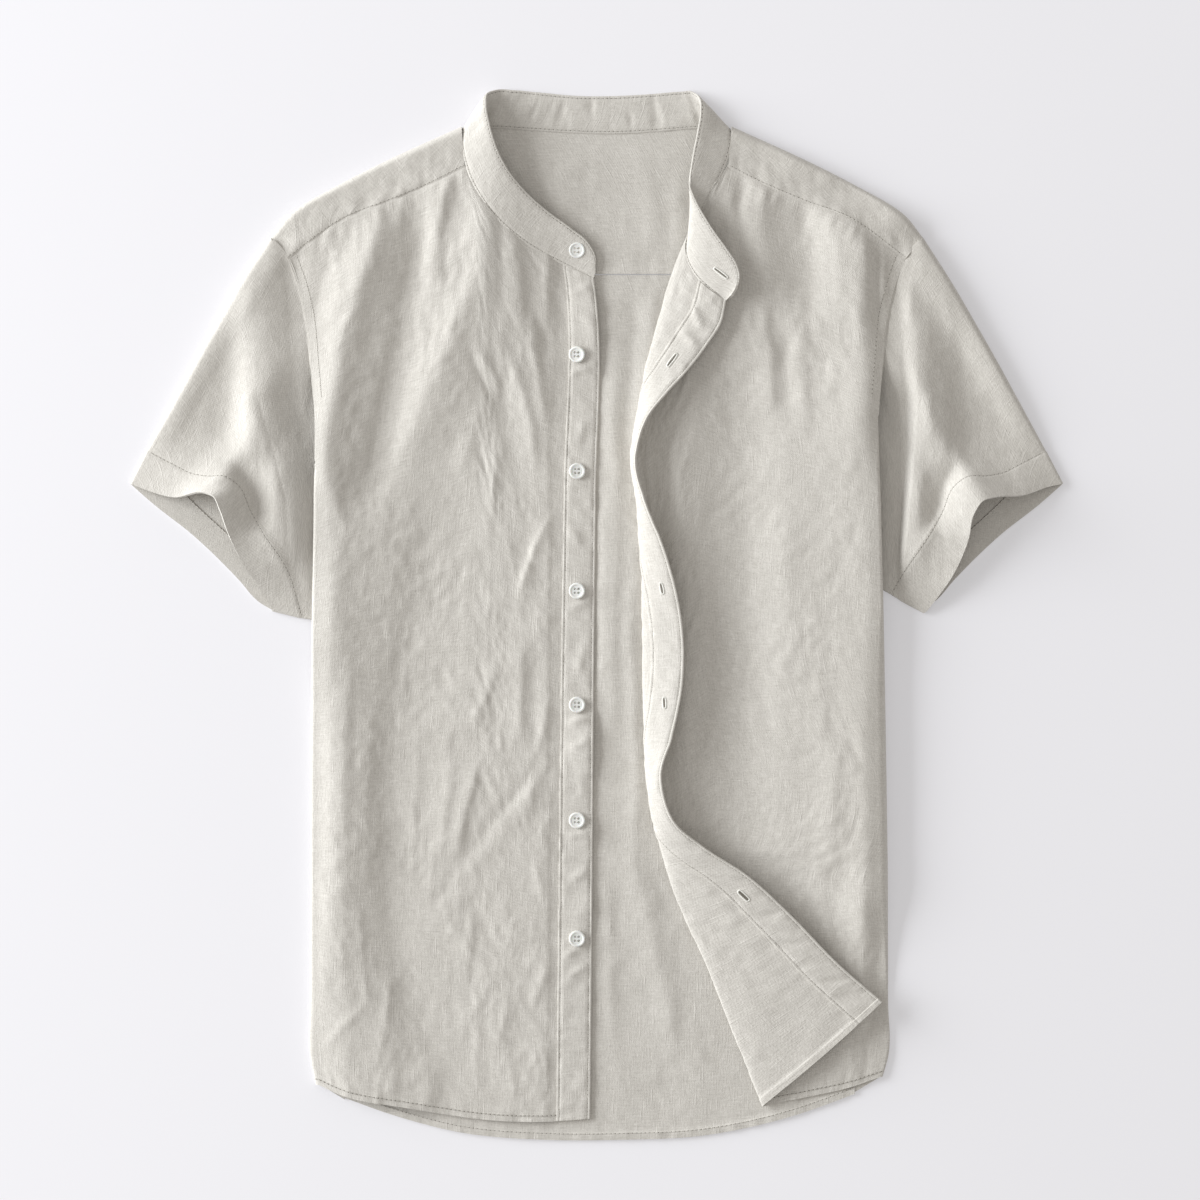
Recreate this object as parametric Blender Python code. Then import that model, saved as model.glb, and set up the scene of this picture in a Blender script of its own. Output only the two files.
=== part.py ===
"""Short-sleeved linen shirt with a mandarin collar, laid flat on its back, the left front turned open.

Frame: +X towards the shirt's left sleeve, +Y towards the collar, +Z up. The origin is on the table,
under the middle of the shirt. Lengths are in millimetres until a mesh is written in metres.

Each cut piece is a closed wall on a grid of middle points. A front is made of rows that run across it:
from its free edge, over its top layer, round the side fold and under to the side seam. "out" is the
distance from the shirt's middle line towards either side.
"""

import math

import bmesh
import bpy
import numpy as np
from mathutils import Vector

MM = 0.001

# Cloth
CLOTH = 1.2  # one layer of linen
BAND = 2.0  # doubled cloth of the collar
FACING = 1.4  # doubled cloth of a placket
HEM_EXTRA = 0.5  # what a turned hem adds on top
HEM = 5.5  # width of the body's narrow hem
SEAM = 0.3  # gap left between sewn pieces
STEP = 0.8  # length over which a turned hem's edge rises

# Heights of the middle of the cloth above the table
FLOOR = CLOTH / 2
CENTRE_Z = 2.5  # front edge, resting on the back
FOLD_Z = 3.0  # left front, under its turned fold
BODY_Z = 9.0  # fronts where they puff up beside the sides
HEM_Z = 7.6  # front hem, a little open
TUCK_Z = 2.2  # sleeve where it passes under the body
LIP_RADIUS = 1.9  # turned-under front edge that lies over the sleeve
UNDER = 22.0  # depth that each front wraps under the body

PLACKET = 24.5  # width of each placket
BUTTON_RADIUS = 5.9
BUTTON_THICK = 2.5
BUTTON_RIM = 1.5  # width of the raised rim
BUTTON_DISH = 0.6  # how far the middle lies below the rim

# Shoulder, both sides: back yoke seam, shoulder fold and front yoke seam, from neck to armhole
SHOULDER = (  # back out, back y, fold out, fold y, front out, front y
    (97.0, 245.0, 97.0, 351.0, 94.5, 321.0),
    (130.0, 244.5, 141.0, 331.0, 115.0, 310.5),
    (165.0, 244.0, 185.0, 309.0, 148.0, 297.0),
    (196.0, 244.0, 219.0, 289.0, 183.0, 283.0),
    (218.5, 244.5, 235.0, 271.0, 221.5, 255.0),
)
BACK_NECK = ((-97.0, 350.0), (-77.0, 351.5), (-23.0, 347.0), (20.0, 346.0), (72.0, 351.0), (97.0, 350.0))
FRONT_ARMHOLE = ((221.5, 255.0), (214.0, 234.0), (209.0, 213.0), (205.0, 176.0), (202.5, 145.0))
RIGHT_BACK_ARMHOLE = ((235.0, 271.0), (218.5, 244.5), (198.0, 169.0), (188.0, 90.0), (181.0, -2.0))
LEFT_BACK_ARMHOLE = ((235.0, 271.0), (218.5, 244.5), (198.0, 169.0), (188.0, 104.0), (181.0, 32.0))

# Side folds of the body, from the armhole down to the hem corner
RIGHT_SIDE = ((202.5, 145.0), (203.0, 77.0), (204.5, 0.0), (206.0, -278.0), (206.0, -318.0), (202.0, -337.0))
LEFT_SIDE = ((202.5, 145.0), (204.0, 77.0), (206.0, 0.0), (210.0, -278.0), (210.0, -318.0), (206.0, -332.0))
TUCKS = (  # y above the underarm, share of the full side roll, share of the depth turned under
    (112.0, 0.0, 0.0),
    (86.0, 0.0, 0.2),
    (0.0, 0.0, 1.0),
    (-24.0, 0.0, 1.0),
    (-84.0, 1.0, 1.0),
)
SIDE_SEAM = {-1: ((181.0, -348.0), (181.0, 40.0)), 1: ((186.0, -345.0), (181.0, 40.0))}  # out, y

RIGHT_NECK = ((-2.0, 242.0), (-28.0, 254.0), (-49.0, 265.0), (-65.0, 277.0), (-80.0, 293.0), (-94.5, 321.0))
RIGHT_EDGE = ((-2.0, 242.0), (0.0, 226.0), (-0.5, 82.0), (-2.0, -62.0), (-3.0, -206.0), (-4.5, -363.0))
RIGHT_HEM = ((-4.5, -363.0), (-26.0, -364.5), (-72.0, -364.0), (-134.0, -355.0), (-184.0, -345.0),
             (-202.0, -337.0))
LEFT_NECK = ((65.0, 273.0), (75.0, 289.0), (82.0, 304.0), (94.5, 321.0))
LEFT_HEM = ((126.0, -352.0), (157.0, -346.0), (183.0, -340.0), (206.0, -332.0))
BACK_HEM = ((-181.0, -348.0), (-147.0, -360.0), (-96.0, -373.0), (-37.0, -378.0), (17.0, -378.0),
            (76.0, -375.0), (144.0, -360.0), (186.0, -345.0))

# Left front turned open: where it folds, and where its free edge then lies
TURN = (  # fold x, fold y, edge x, edge y, edge z, middle z, sag of the row
    (65.0, 273.0, 93.0, 225.0, 17.0, 12.0, 0.60),
    (54.0, 244.0, 89.0, 208.0, 18.0, 11.0, 0.45),
    (47.0, 218.0, 80.0, 194.0, 18.0, 10.0, 0.30),
    (41.0, 196.0, 72.0, 183.0, 19.0, 10.0, 0.15),
    (36.0, 178.0, 63.0, 172.0, 21.0, 10.0, 0.0),
    (33.0, 161.0, 51.0, 159.0, 24.0, 11.0, 0.0),
    (28.5, 136.0, 36.0, 139.0, 27.0, 13.0, 0.0),
    (26.0, 110.0, 28.5, 110.0, 28.0, 14.0, 0.0),
    (29.0, 85.0, 33.5, 86.0, 27.0, 13.0, 0.0),
    (32.0, 46.0, 49.0, 46.0, 26.0, 11.0, 0.0),
    (34.0, -4.0, 61.0, -4.0, 24.0, 10.0, 0.0),
    (34.0, -47.0, 62.0, -47.0, 24.0, 10.0, 0.0),
    (35.0, -90.0, 54.0, -89.0, 26.0, 12.0, 0.0),
    (37.0, -121.0, 46.5, -116.0, 27.0, 13.0, 0.0),
    (41.0, -146.0, 55.0, -147.0, 25.0, 12.0, 0.0),
    (48.0, -171.0, 75.0, -165.0, 21.0, 10.0, 0.0),
    (59.0, -202.0, 107.0, -186.0, 18.0, 9.0, 0.0),
    (80.0, -245.0, 137.0, -213.0, 16.0, 9.0, 0.0),
    (102.0, -297.0, 172.0, -249.0, 15.0, 9.0, 0.0),
    (126.0, -352.0, 205.0, -278.0, 14.0, 9.0, 0.0),
)
TURN_START = 9.0  # distance from the fold at which the front begins to turn up

# Sleeves: the open hem of the front layer stands up in a wave
OUTER_FOLD = ((235.0, 271.0), (251.0, 246.0), (281.0, 195.5), (304.0, 153.5), (323.0, 118.5))
SLEEVE_CORNER = (335.5, 94.0)
RIGHT_UNDERARM = ((181.0, -2.0), (204.0, -4.0), (211.0, -3.0))
LEFT_UNDERARM = ((181.0, 32.0), (204.0, 18.5), (211.0, 14.5))
SLEEVE_STITCH = (  # out, y, z: the top edge of the turned hem on the front layer
    (323.0, 118.5, 3.6),
    (305.0, 109.0, 7.0),
    (291.0, 102.0, 13.0),
    (278.0, 99.5, 19.0),
    (265.0, 99.0, 22.0),
    (256.5, 93.0, 20.0),
    (247.5, 73.5, 14.0),
    (238.5, 58.5, 10.5),
    (223.0, 35.5, 6.0),
)
RIGHT_WAVE = (  # out, y, z: the hem of the right sleeve's front layer
    (335.5, 94.0, 3.0),
    (324.0, 89.5, 5.0),
    (303.0, 84.0, 14.0),
    (281.0, 87.0, 25.0),
    (274.0, 84.5, 27.0),
    (269.5, 75.0, 25.0),
    (264.0, 58.5, 19.0),
    (252.0, 34.0, 11.0),
    (242.0, 20.0, 6.5),
    (232.5, 3.0, 2.6),
)
LEFT_WAVE = (  # out, y, z: the same on the left sleeve
    (335.5, 94.0, 3.0),
    (326.0, 92.0, 5.0),
    (306.0, 85.5, 13.0),
    (286.0, 84.0, 23.0),
    (276.0, 81.0, 27.0),
    (270.0, 72.0, 25.0),
    (266.5, 54.0, 18.0),
    (254.0, 25.0, 10.0),
    (244.5, 11.5, 6.0),
    (237.0, 1.5, 2.6),
)
BACK_STITCH = ((323.0, 118.5), (295.0, 86.0), (264.0, 57.0), (235.0, 32.0))
SLEEVE_HEM_BACK = ((335.5, 94.0), (319.0, 79.5), (291.0, 57.5), (258.0, 25.5), (243.0, 9.0), (233.0, 3.0))

SLEEVE_RIDGES = (  # out x, y, out x, y, half-width, height
    (236.0, 250.0, 238.0, 110.0, 12.0, 4.5),
    (262.0, 215.0, 268.0, 120.0, 10.0, -2.0),
    (226.0, 200.0, 214.0, 90.0, 8.0, -1.5),
)
PUFF = 5.0  # how far a sleeve's front layer rises between its folds
BODY_SIDE = 206.0  # the sleeve stays low inside of this, where the body's side lies over it

# Large folds of the top layer: a ridge has a positive height, a trough a negative one
FOLDS = (  # start x, start y, end x, end y, half-width, height
    (-152.0, 290.0, -186.0, 160.0, 17.0, 3.2),
    (-186.0, 170.0, -190.0, 20.0, 18.0, 1.6),
    (-120.0, 305.0, -148.0, 160.0, 14.0, -3.0),
    (-148.0, 170.0, -160.0, 60.0, 16.0, -2.2),
    (-113.0, 318.0, -122.0, 235.0, 6.0, 2.0),
    (-82.0, 300.0, -84.0, 210.0, 13.0, 3.6),
    (-84.0, 225.0, -135.0, 90.0, 14.0, 3.2),
    (-135.0, 100.0, -168.0, 30.0, 12.0, 1.8),
    (-60.0, 250.0, -46.0, 100.0, 9.0, 1.6),
    (-41.0, 95.0, -58.0, -40.0, 8.0, 1.8),
    (-66.0, 150.0, -72.0, -30.0, 11.0, 1.6),
    (-188.0, -10.0, -196.0, -290.0, 20.0, 1.8),
    (-143.0, 20.0, -138.0, -250.0, 15.0, -2.2),
    (-118.0, -60.0, -88.0, -130.0, 8.0, 1.5),
    (-132.0, -205.0, -68.0, -135.0, 7.0, 1.9),
    (-68.0, -135.0, -38.0, -85.0, 6.0, 1.6),
    (-100.0, -260.0, -60.0, -190.0, 8.0, 1.3),
    (-172.0, -330.0, -150.0, -240.0, 9.0, 1.5),
    (104.0, 315.0, 124.0, 215.0, 12.0, 3.0),
    (118.0, 300.0, 146.0, 225.0, 8.0, -2.4),
    (150.0, 290.0, 176.0, 160.0, 14.0, 3.2),
    (186.0, 270.0, 196.0, 180.0, 8.0, -1.8),
    (176.0, 170.0, 186.0, -40.0, 22.0, 2.0),
    (118.0, 190.0, 122.0, 0.0, 20.0, 2.4),
    (92.0, 170.0, 90.0, -120.0, 12.0, -1.6),
    (132.0, -20.0, 158.0, -240.0, 24.0, 2.0),
    (196.0, -120.0, 182.0, -330.0, 12.0, 1.2),
)
BACK_FOLDS = (  # the back between the fronts: soft upright folds, raised on the upper face only
    (12.0, 235.0, 9.0, -120.0, 7.0, 1.3),
    (40.0, 238.0, 33.0, 120.0, 6.0, 0.9),
    (24.0, 60.0, 30.0, -190.0, 5.0, 0.8),
    (16.0, -150.0, 60.0, -330.0, 9.0, 1.1),
    (70.0, -290.0, 74.0, -360.0, 6.0, 0.9),
    (-20.0, 330.0, -30.0, 270.0, 10.0, 0.7),
)

# Mandarin collar, from the right front's end round the neck to the left front's end
COLLAR = (  # part of the neck, seam x, seam y, seam z, top x, top y, top z
    ("front", -2.0, 242.0, 0.0, -0.5, 247.0, 4.0),
    ("front", -6.0, 244.0, 0.0, 0.3, 257.0, 5.0),
    ("front", -13.0, 247.0, 0.0, -4.0, 267.0, 6.0),
    ("front", -26.0, 253.0, 0.0, -17.0, 277.0, 8.0),
    ("front", -49.0, 265.0, 0.0, -38.0, 291.0, 11.0),
    ("front", -65.0, 277.0, 0.0, -51.0, 303.0, 14.0),
    ("front", -80.0, 293.0, 0.0, -64.0, 318.0, 17.0),
    ("front", -91.0, 313.0, 0.0, -72.0, 334.0, 19.0),
    ("shoulder", -95.5, 329.0, 7.4, -77.0, 352.0, 19.5),
    ("shoulder", -96.5, 342.0, 6.8, -79.5, 366.0, 16.5),
    ("shoulder", -97.0, 350.6, 4.2, -79.0, 375.5, 10.0),
    ("back", -94.0, 349.5, 1.6, -74.0, 377.5, 4.2),
    ("back", -77.0, 351.5, 1.0, -60.0, 377.5, 1.8),
    ("back", -48.0, 349.0, 1.0, -38.0, 375.5, 1.2),
    ("back", -20.0, 347.0, 1.0, -17.0, 372.5, 1.0),
    ("back", 20.0, 346.0, 1.0, 20.0, 373.0, 1.0),
    ("back", 49.0, 348.5, 1.0, 46.0, 375.0, 1.2),
    ("back", 74.0, 351.0, 1.0, 63.0, 376.5, 1.6),
    ("back", 90.0, 350.0, 1.6, 69.5, 376.5, 3.0),
    ("shoulder", 97.0, 350.6, 4.2, 74.0, 373.0, 7.0),
    ("shoulder", 96.5, 341.0, 6.8, 75.0, 362.0, 11.5),
    ("shoulder", 95.0, 330.0, 7.4, 72.5, 347.0, 14.0),
    ("front", 90.0, 317.0, 0.0, 69.0, 331.0, 14.5),
    ("front", 82.0, 304.0, 0.0, 67.2, 318.0, 14.0),
    ("front", 75.0, 289.0, 0.0, 66.4, 311.0, 14.0),
    ("turn", 65.0, 273.0, 0.0, 66.8, 306.0, 15.5),
    ("turn", 66.0, 257.0, 0.0, 74.0, 290.0, 17.5),
    ("turn", 71.0, 244.0, 0.0, 84.0, 274.0, 18.5),
    ("turn", 77.5, 236.5, 0.0, 94.0, 261.0, 19.0),
    ("turn", 84.5, 231.0, 0.0, 101.5, 249.0, 19.0),
    ("turn", 89.5, 227.5, 0.0, 103.5, 239.5, 18.5),
    ("turn", 92.5, 225.3, 0.0, 100.0, 230.0, 18.0),
)
COLLAR_SEAM_GAP = 1.1  # the band starts this far beyond the panels' edge, clear of their corners

BUTTONS_Y = (187.0, 103.0, 17.0, -65.0, -148.0, -233.0)  # on the placket
BUTTON_X = -14.0
COLLAR_BUTTON = (-14.0, 262.0)

# Grid sizes
ROWS = 30
TOP_COLUMNS = (5, 7)  # inner side of the yoke's corner, outer side
TURN_COLUMNS = 7
PLACKET_COLUMNS = 4
DENSE = 60
FRONT_RING, BACK_RING, FOLD_RING = 14, 7, 4  # columns of a sleeve's front layer, back layer and folds

LINEN = (0.60, 0.565, 0.515, 1.0)
BUTTON_WHITE = (0.80, 0.79, 0.76, 1.0)


def smooth(share):
    """Goes from 0 to 1 with a soft start and end."""
    share = np.clip(share, 0.0, 1.0)
    return share * share * (3.0 - 2.0 * share)


def spline(points, at):
    """Points on a smooth curve through the given ones, at shares of its chord length."""
    points = np.asarray(points, float)
    chord = np.concatenate([[0.0], np.cumsum(np.linalg.norm(np.diff(points, axis=0), axis=1))])
    slope = np.gradient(points, chord, axis=0)
    along = np.clip(np.asarray(at, float), 0.0, 1.0) * chord[-1]
    k = np.clip(np.searchsorted(chord, along, side="right") - 1, 0, len(chord) - 2)
    reach = (chord[k + 1] - chord[k])[:, None]
    t = (along - chord[k])[:, None] / reach
    return (
        points[k] * (1 + 2 * t) * (1 - t) ** 2
        + slope[k] * reach * t * (1 - t) ** 2
        + points[k + 1] * t * t * (3 - 2 * t)
        + slope[k + 1] * reach * t * t * (t - 1)
    )


def straight(points, at):
    """Points on the run of straight lines through the given ones, at shares of its length."""
    points = np.asarray(points, float)
    run = np.concatenate([[0.0], np.cumsum(np.linalg.norm(np.diff(points, axis=0), axis=1))])
    marks = np.asarray(at, float) * run[-1]
    return np.stack([np.interp(marks, run, points[:, axis]) for axis in range(points.shape[1])], axis=1)


def mirrored(points, side):
    """A table in (out, y, ...) turned into (x, y, ...) for the side -1 or +1."""
    points = np.array(points, float)
    points[:, 0] *= side
    return points


def coons(top, bottom, left, right, across, down):
    """Grid between four edges: top and bottom run left to right, left and right run down."""
    s = across[None, :, None]
    t = down[:, None, None]
    corners = (
        (1 - s) * (1 - t) * top[0] + s * (1 - t) * top[-1] + (1 - s) * t * bottom[0] + s * t * bottom[-1]
    )
    return (1 - t) * top[None] + t * bottom[None] + (1 - s) * left[:, None] + s * right[:, None] - corners


def ridges(x, y, table):
    """Height that the folds of a table add: a bell across each fold, fading at its ends."""
    total = np.zeros_like(x)
    for x0, y0, x1, y1, half_width, height in table:
        length = math.hypot(x1 - x0, y1 - y0)
        ux, uy = (x1 - x0) / length, (y1 - y0) / length
        along = ((x - x0) * ux + (y - y0) * uy) / length
        across = (x - x0) * uy - (y - y0) * ux
        fade = np.clip(1 - (2 * np.clip(along, -0.1, 1.1) - 1) ** 4, 0.0, 1.0)
        total += height * fade * np.exp(-((across / half_width) ** 2))
    return total


def top_height(x, y):
    """Middle height of the top layer, as on both fronts and on the yoke's front strips."""
    turn = np.array(TURN)
    fold_x = np.interp(y, turn[::-1, 1], turn[::-1, 0])
    at_neck = smooth((y - 250.0) / 60.0)
    left = FOLD_Z + (BODY_Z - FOLD_Z) * np.maximum(smooth((x - fold_x - 8.0) / 38.0), at_neck)
    right = CENTRE_Z + (BODY_Z - CENTRE_Z) * smooth((-x - 22.0) / 70.0)
    base = np.where(x > 10.0, left, right)
    free = np.where(x > 10.0, smooth((x - fold_x - 6.0) / 20.0), smooth((-x - 26.0) / 14.0))
    folds = ridges(x, y, FOLDS) * free * smooth((y + 366.0) / 60.0)
    at_shoulder = smooth((y - 268.0 + 0.46 * (np.abs(x) - 97.0) - 40.0) / 20.0)
    height = np.maximum(base + folds * (1 - 0.8 * at_shoulder), CENTRE_Z)
    at_hem = smooth((-y - 290.0) / 60.0)
    return height - np.maximum(height - HEM_Z, 0.0) * at_hem


def lengths(path):
    """Distance run along a path at each of its points."""
    return np.concatenate([[0.0], np.cumsum(np.linalg.norm(np.diff(path, axis=0), axis=1))])


def at_lengths(path, marks):
    """Points of a path at the given distances along it."""
    run = lengths(path)
    return np.stack([np.interp(marks, run, path[:, axis]) for axis in range(3)], axis=1)


def arc(centre, outward, radius, first, last, count):
    """Points of a circle's arc in the upright plane of `outward`, from one angle to another in degrees."""
    angle = np.radians(np.linspace(first, last, count))
    flat = centre[None, :2] + outward[None] * (radius * np.cos(angle))[:, None]
    return np.column_stack([flat, centre[2] + radius * np.sin(angle)])


def side_fold(path, side, radius, depth, skew):
    """The path's end turned round the body's side and under it, with its marks from the side seam inward."""
    outward = np.array([side, 0.0])
    inset = radius + CLOTH / 2 if radius else SEAM / 2
    path = at_lengths(path, np.linspace(0.0, lengths(path)[-1] - inset, DENSE * 2))
    steps = [2.0, 2.0]
    if radius:
        centre = path[-1] - np.array([0.0, 0.0, radius])
        path = np.vstack([path, arc(centre, outward, radius, 90.0, -90.0, 16)[1:]])
        seam_out, seam_y = np.array(SIDE_SEAM[side]).T
        end_y = path[-1, 1] - skew * depth
        edge = np.interp(end_y, seam_y, seam_out) + SEAM
        end_x = side * max(edge, side * path[-1, 0] - depth)
        path = np.vstack([path, [end_x, end_y, path[-1, 2]]])
        steps = [max(abs(end_x - path[-2, 0]) / 2, 2.0)] * 2
    steps += [max(math.pi * radius / 4, 2.0)] * 4
    return path, np.cumsum([0.0] + steps)


def front_rows(side, plan, inner_paths, marks_of):
    """Grid of a front: each plan row gets its height, its side fold and its even columns."""
    rows = []
    underarm_y = (LEFT_BACK_ARMHOLE if side > 0 else RIGHT_BACK_ARMHOLE)[-1][1]
    tuck_y, tuck_share, tuck_depth = np.array(TUCKS).T
    for row, flat in enumerate(plan):
        path = np.column_stack([flat, top_height(flat[:, 0], flat[:, 1])])
        down = underarm_y - path[-1, 1]
        share = np.interp(down, -tuck_y, tuck_share)
        depth = np.interp(down, -tuck_y, tuck_depth) * UNDER
        full = (path[-1, 2] - FLOOR) / 2
        radius = (LIP_RADIUS + (full - LIP_RADIUS) * share) * smooth((down + tuck_y[0]) / 26.0)
        skew = 0.5 * smooth((-path[-1, 1] - 180.0) / 150.0)
        inner, start = inner_paths(row, path)
        corner_run = lengths(path)[DENSE] - start
        outer, ends = side_fold(path, side, float(radius) if depth > 0.0 else 0.0, depth, skew)
        whole = np.vstack([inner, outer[lengths(outer) > start]])
        total = lengths(whole)[-1]
        first = marks_of(row, inner)
        middle = lengths(inner)[-1] + corner_run
        marks = np.concatenate(
            [
                first,
                np.linspace(first[-1], middle, TOP_COLUMNS[0] + 1)[1:],
                np.linspace(middle, total - ends[-1], TOP_COLUMNS[1] + 1)[1:],
                total - ends[-2::-1],
            ]
        )
        rows.append(at_lengths(whole, marks))
    return np.array(rows)


def row_shares():
    """Shares of a front's length for its rows, with a narrow step at the hem's turned edge."""
    length = 620.0
    hem_top = 1.0 - HEM / length
    return np.concatenate([np.linspace(0.0, hem_top, ROWS - 1), [hem_top + STEP / length, 1.0]])


def front_plan(neck, hem, inner, outer, corner_share):
    """Plan points of a front's top layer, from its inner edge out to the armhole and the side fold."""
    across = np.concatenate(
        [np.linspace(0.0, corner_share, DENSE + 1), np.linspace(corner_share, 1.0, DENSE + 1)[1:]]
    )
    return coons(neck, spline(hem, across), inner, outer, across, row_shares())


def outer_edge(side_table, side):
    """Armhole and side fold as one run of plan points, one for each row."""
    whole = np.vstack([mirrored(FRONT_ARMHOLE[:-1], side), mirrored(side_table, side)])
    return spline(whole, row_shares())


def top_edge(neck, side):
    """Neck seam and front yoke seam from the inner edge to the armhole, `DENSE` steps for each."""
    yoke = mirrored([row[4:6] for row in SHOULDER], side)
    even = np.linspace(0.0, 1.0, DENSE + 1)
    return np.vstack([spline(neck, even), spline(yoke, even)[1:]])


def right_front_grid():
    """Right front, from its straight placket edge to the side seam under the body."""
    inner = spline(RIGHT_EDGE, row_shares())
    plan = front_plan(top_edge(RIGHT_NECK, -1), RIGHT_HEM, inner, outer_edge(RIGHT_SIDE, -1), 0.42)

    def no_turn(row, path):
        return path[:1], 0.0

    def placket_marks(row, inner):
        return np.linspace(0.0, PLACKET, PLACKET_COLUMNS + 1)

    return front_rows(-1, plan, no_turn, placket_marks)


def left_front_grid():
    """Left front: free edge, turned flap, fold, then the layer that lies on the body."""
    turn = spline(np.array(TURN), row_shares())
    plan = front_plan(top_edge(LEFT_NECK, 1), LEFT_HEM, turn[:, :2], outer_edge(LEFT_SIDE, 1), 0.30)

    def turned_flap(row, path):
        fold_x, fold_y, edge_x, edge_y, edge_z, middle_z, sag = turn[row]
        start = at_lengths(path, [TURN_START])[0]
        inward = start - path[0]
        inward /= np.linalg.norm(inward)
        flap = np.array([edge_x - fold_x, edge_y - fold_y])
        reach = (TURN_START + np.linalg.norm(flap)) / 6.0
        along = flap / max(np.linalg.norm(flap), 1e-6)
        low = path[0] - inward * reach
        level = np.array([fold_x, fold_y]) - along * reach * (1 - sag) - np.array([reach, 0.0]) * sag
        level = level + np.array([0.0, sag * flap[1]])
        high = np.array([level[0], level[1], middle_z])
        edge = np.array([edge_x, edge_y, edge_z])
        t = np.linspace(0.0, 1.0, 4 * DENSE)[::-1, None]
        curve = start * (1 - t) ** 3 + 3 * low * t * (1 - t) ** 2 + 3 * high * t * t * (1 - t) + edge * t**3
        return curve, TURN_START

    def turn_marks(row, inner):
        run = lengths(inner)
        first = np.linspace(0.0, PLACKET, PLACKET_COLUMNS + 1)
        even_steps = np.linspace(np.interp(PLACKET, run, np.arange(len(run))), len(run) - 1, TURN_COLUMNS + 1)
        return np.concatenate([first, np.interp(even_steps[1:], np.arange(len(run)), run)])

    return front_rows(1, plan, turned_flap, turn_marks)


def trimmed(points, top=0.0, bottom=0.0, first=0.0, last=0.0):
    """A grid whose edge points are drawn back by the given distances towards the next points."""
    points = points.copy()
    for edge, following, reach in ((0, 1, top), (-1, -2, bottom)):
        step = points[following] - points[edge]
        points[edge] += step * (reach / np.linalg.norm(step, axis=1))[:, None]
    for edge, following, reach in ((0, 1, first), (-1, -2, last)):
        step = points[:, following] - points[:, edge]
        points[:, edge] += step * (reach / np.linalg.norm(step, axis=1))[:, None]
    return points


def quads_of(rows, columns, tube):
    """Corner numbers of a grid's cells, shape (rows - 1, columns or columns - 1, 4)."""
    index = np.arange(rows * columns).reshape(rows, columns)
    if tube:
        index = np.hstack([index, index[:, :1]])
    return np.stack([index[:-1, :-1], index[:-1, 1:], index[1:, 1:], index[1:, :-1]], axis=-1)


def normals_of(points, tube=False, keep=None):
    """Unit normal at each point of a grid, from the cells round it."""
    quads = quads_of(*points.shape[:2], tube)
    quads = (quads[keep] if keep is not None else quads).reshape(-1, 4)
    flat = points.reshape(-1, 3)
    corner = flat[quads]
    face = np.cross(corner[:, 2] - corner[:, 0], corner[:, 3] - corner[:, 1])
    total = np.zeros_like(flat)
    for k in range(4):
        np.add.at(total, quads[:, k], face)
    size = np.linalg.norm(total, axis=1, keepdims=True)
    return (total / np.where(size > 0.0, size, 1.0)).reshape(points.shape)


def wall(name, points, above, below, material, tube=False, keep=None, normal=None):
    """Closed wall round a grid, reaching `above` and `below` along its normals."""
    quads = quads_of(*points.shape[:2], tube)
    quads = (quads[keep] if keep is not None else quads).reshape(-1, 4)
    if normal is None:
        normal = normals_of(points, tube, keep)
    upper = points + normal * np.broadcast_to(above, points.shape[:2])[..., None]
    lower = points - normal * np.broadcast_to(below, points.shape[:2])[..., None]
    both = np.vstack([upper.reshape(-1, 3), lower.reshape(-1, 3)])
    both[:, 2] = np.maximum(both[:, 2], 0.0)
    count = points.shape[0] * points.shape[1]
    ends = np.concatenate([quads[:, [k, (k + 1) % 4]] for k in range(4)])
    code = ends[:, 0] * count + ends[:, 1]
    back = ends[:, 1] * count + ends[:, 0]
    rim = ends[~np.isin(code, back)]
    rims = np.stack([rim[:, 1], rim[:, 0], rim[:, 0] + count, rim[:, 1] + count], axis=1)
    corner = points.reshape(-1, 3)[quads]
    first = np.linalg.norm(corner[:, 2] - corner[:, 0], axis=1)
    second = np.linalg.norm(corner[:, 3] - corner[:, 1], axis=1)
    turned = np.where((first < second)[:, None], quads, np.roll(quads, -1, axis=1))
    sheets = np.vstack([turned[:, [0, 1, 2]], turned[:, [0, 2, 3]]])
    faces = np.vstack([sheets, sheets[:, ::-1] + count, rims[:, [0, 1, 2]], rims[:, [0, 2, 3]]])
    used, renumbered = np.unique(faces, return_inverse=True)
    mesh = bpy.data.meshes.new(name)
    mesh.from_pydata((both[used] * MM).tolist(), [], renumbered.reshape(faces.shape).tolist())
    return finished(name, mesh, material, 35.0)


def finished(name, mesh, material, sharp_angle):
    """The mesh as a smooth-shaded object with its faces pointing out."""
    shape = bmesh.new()
    shape.from_mesh(mesh)
    bmesh.ops.recalc_face_normals(shape, faces=shape.faces)
    shape.to_mesh(mesh)
    shape.free()
    mesh.shade_smooth()
    mesh.set_sharp_from_angle(angle=math.radians(sharp_angle))
    mesh.materials.append(material)
    obj = bpy.data.objects.new(name, mesh)
    bpy.context.scene.collection.objects.link(obj)
    return obj


def build_front(name, points, hem_side, linen):
    """A front's wall: its turned hem's extra cloth lies on the side of its normals (+1) or the other (-1)."""
    points = trimmed(points, top=0.4, last=SEAM / 2)
    reach = np.full(points.shape[:2], CLOTH / 2)
    thicker = reach.copy()
    thicker[-2:] += HEM_EXTRA
    sides = (thicker, reach) if hem_side > 0 else (reach, thicker)
    wall(name, points, *sides, linen)
    return points


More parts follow.
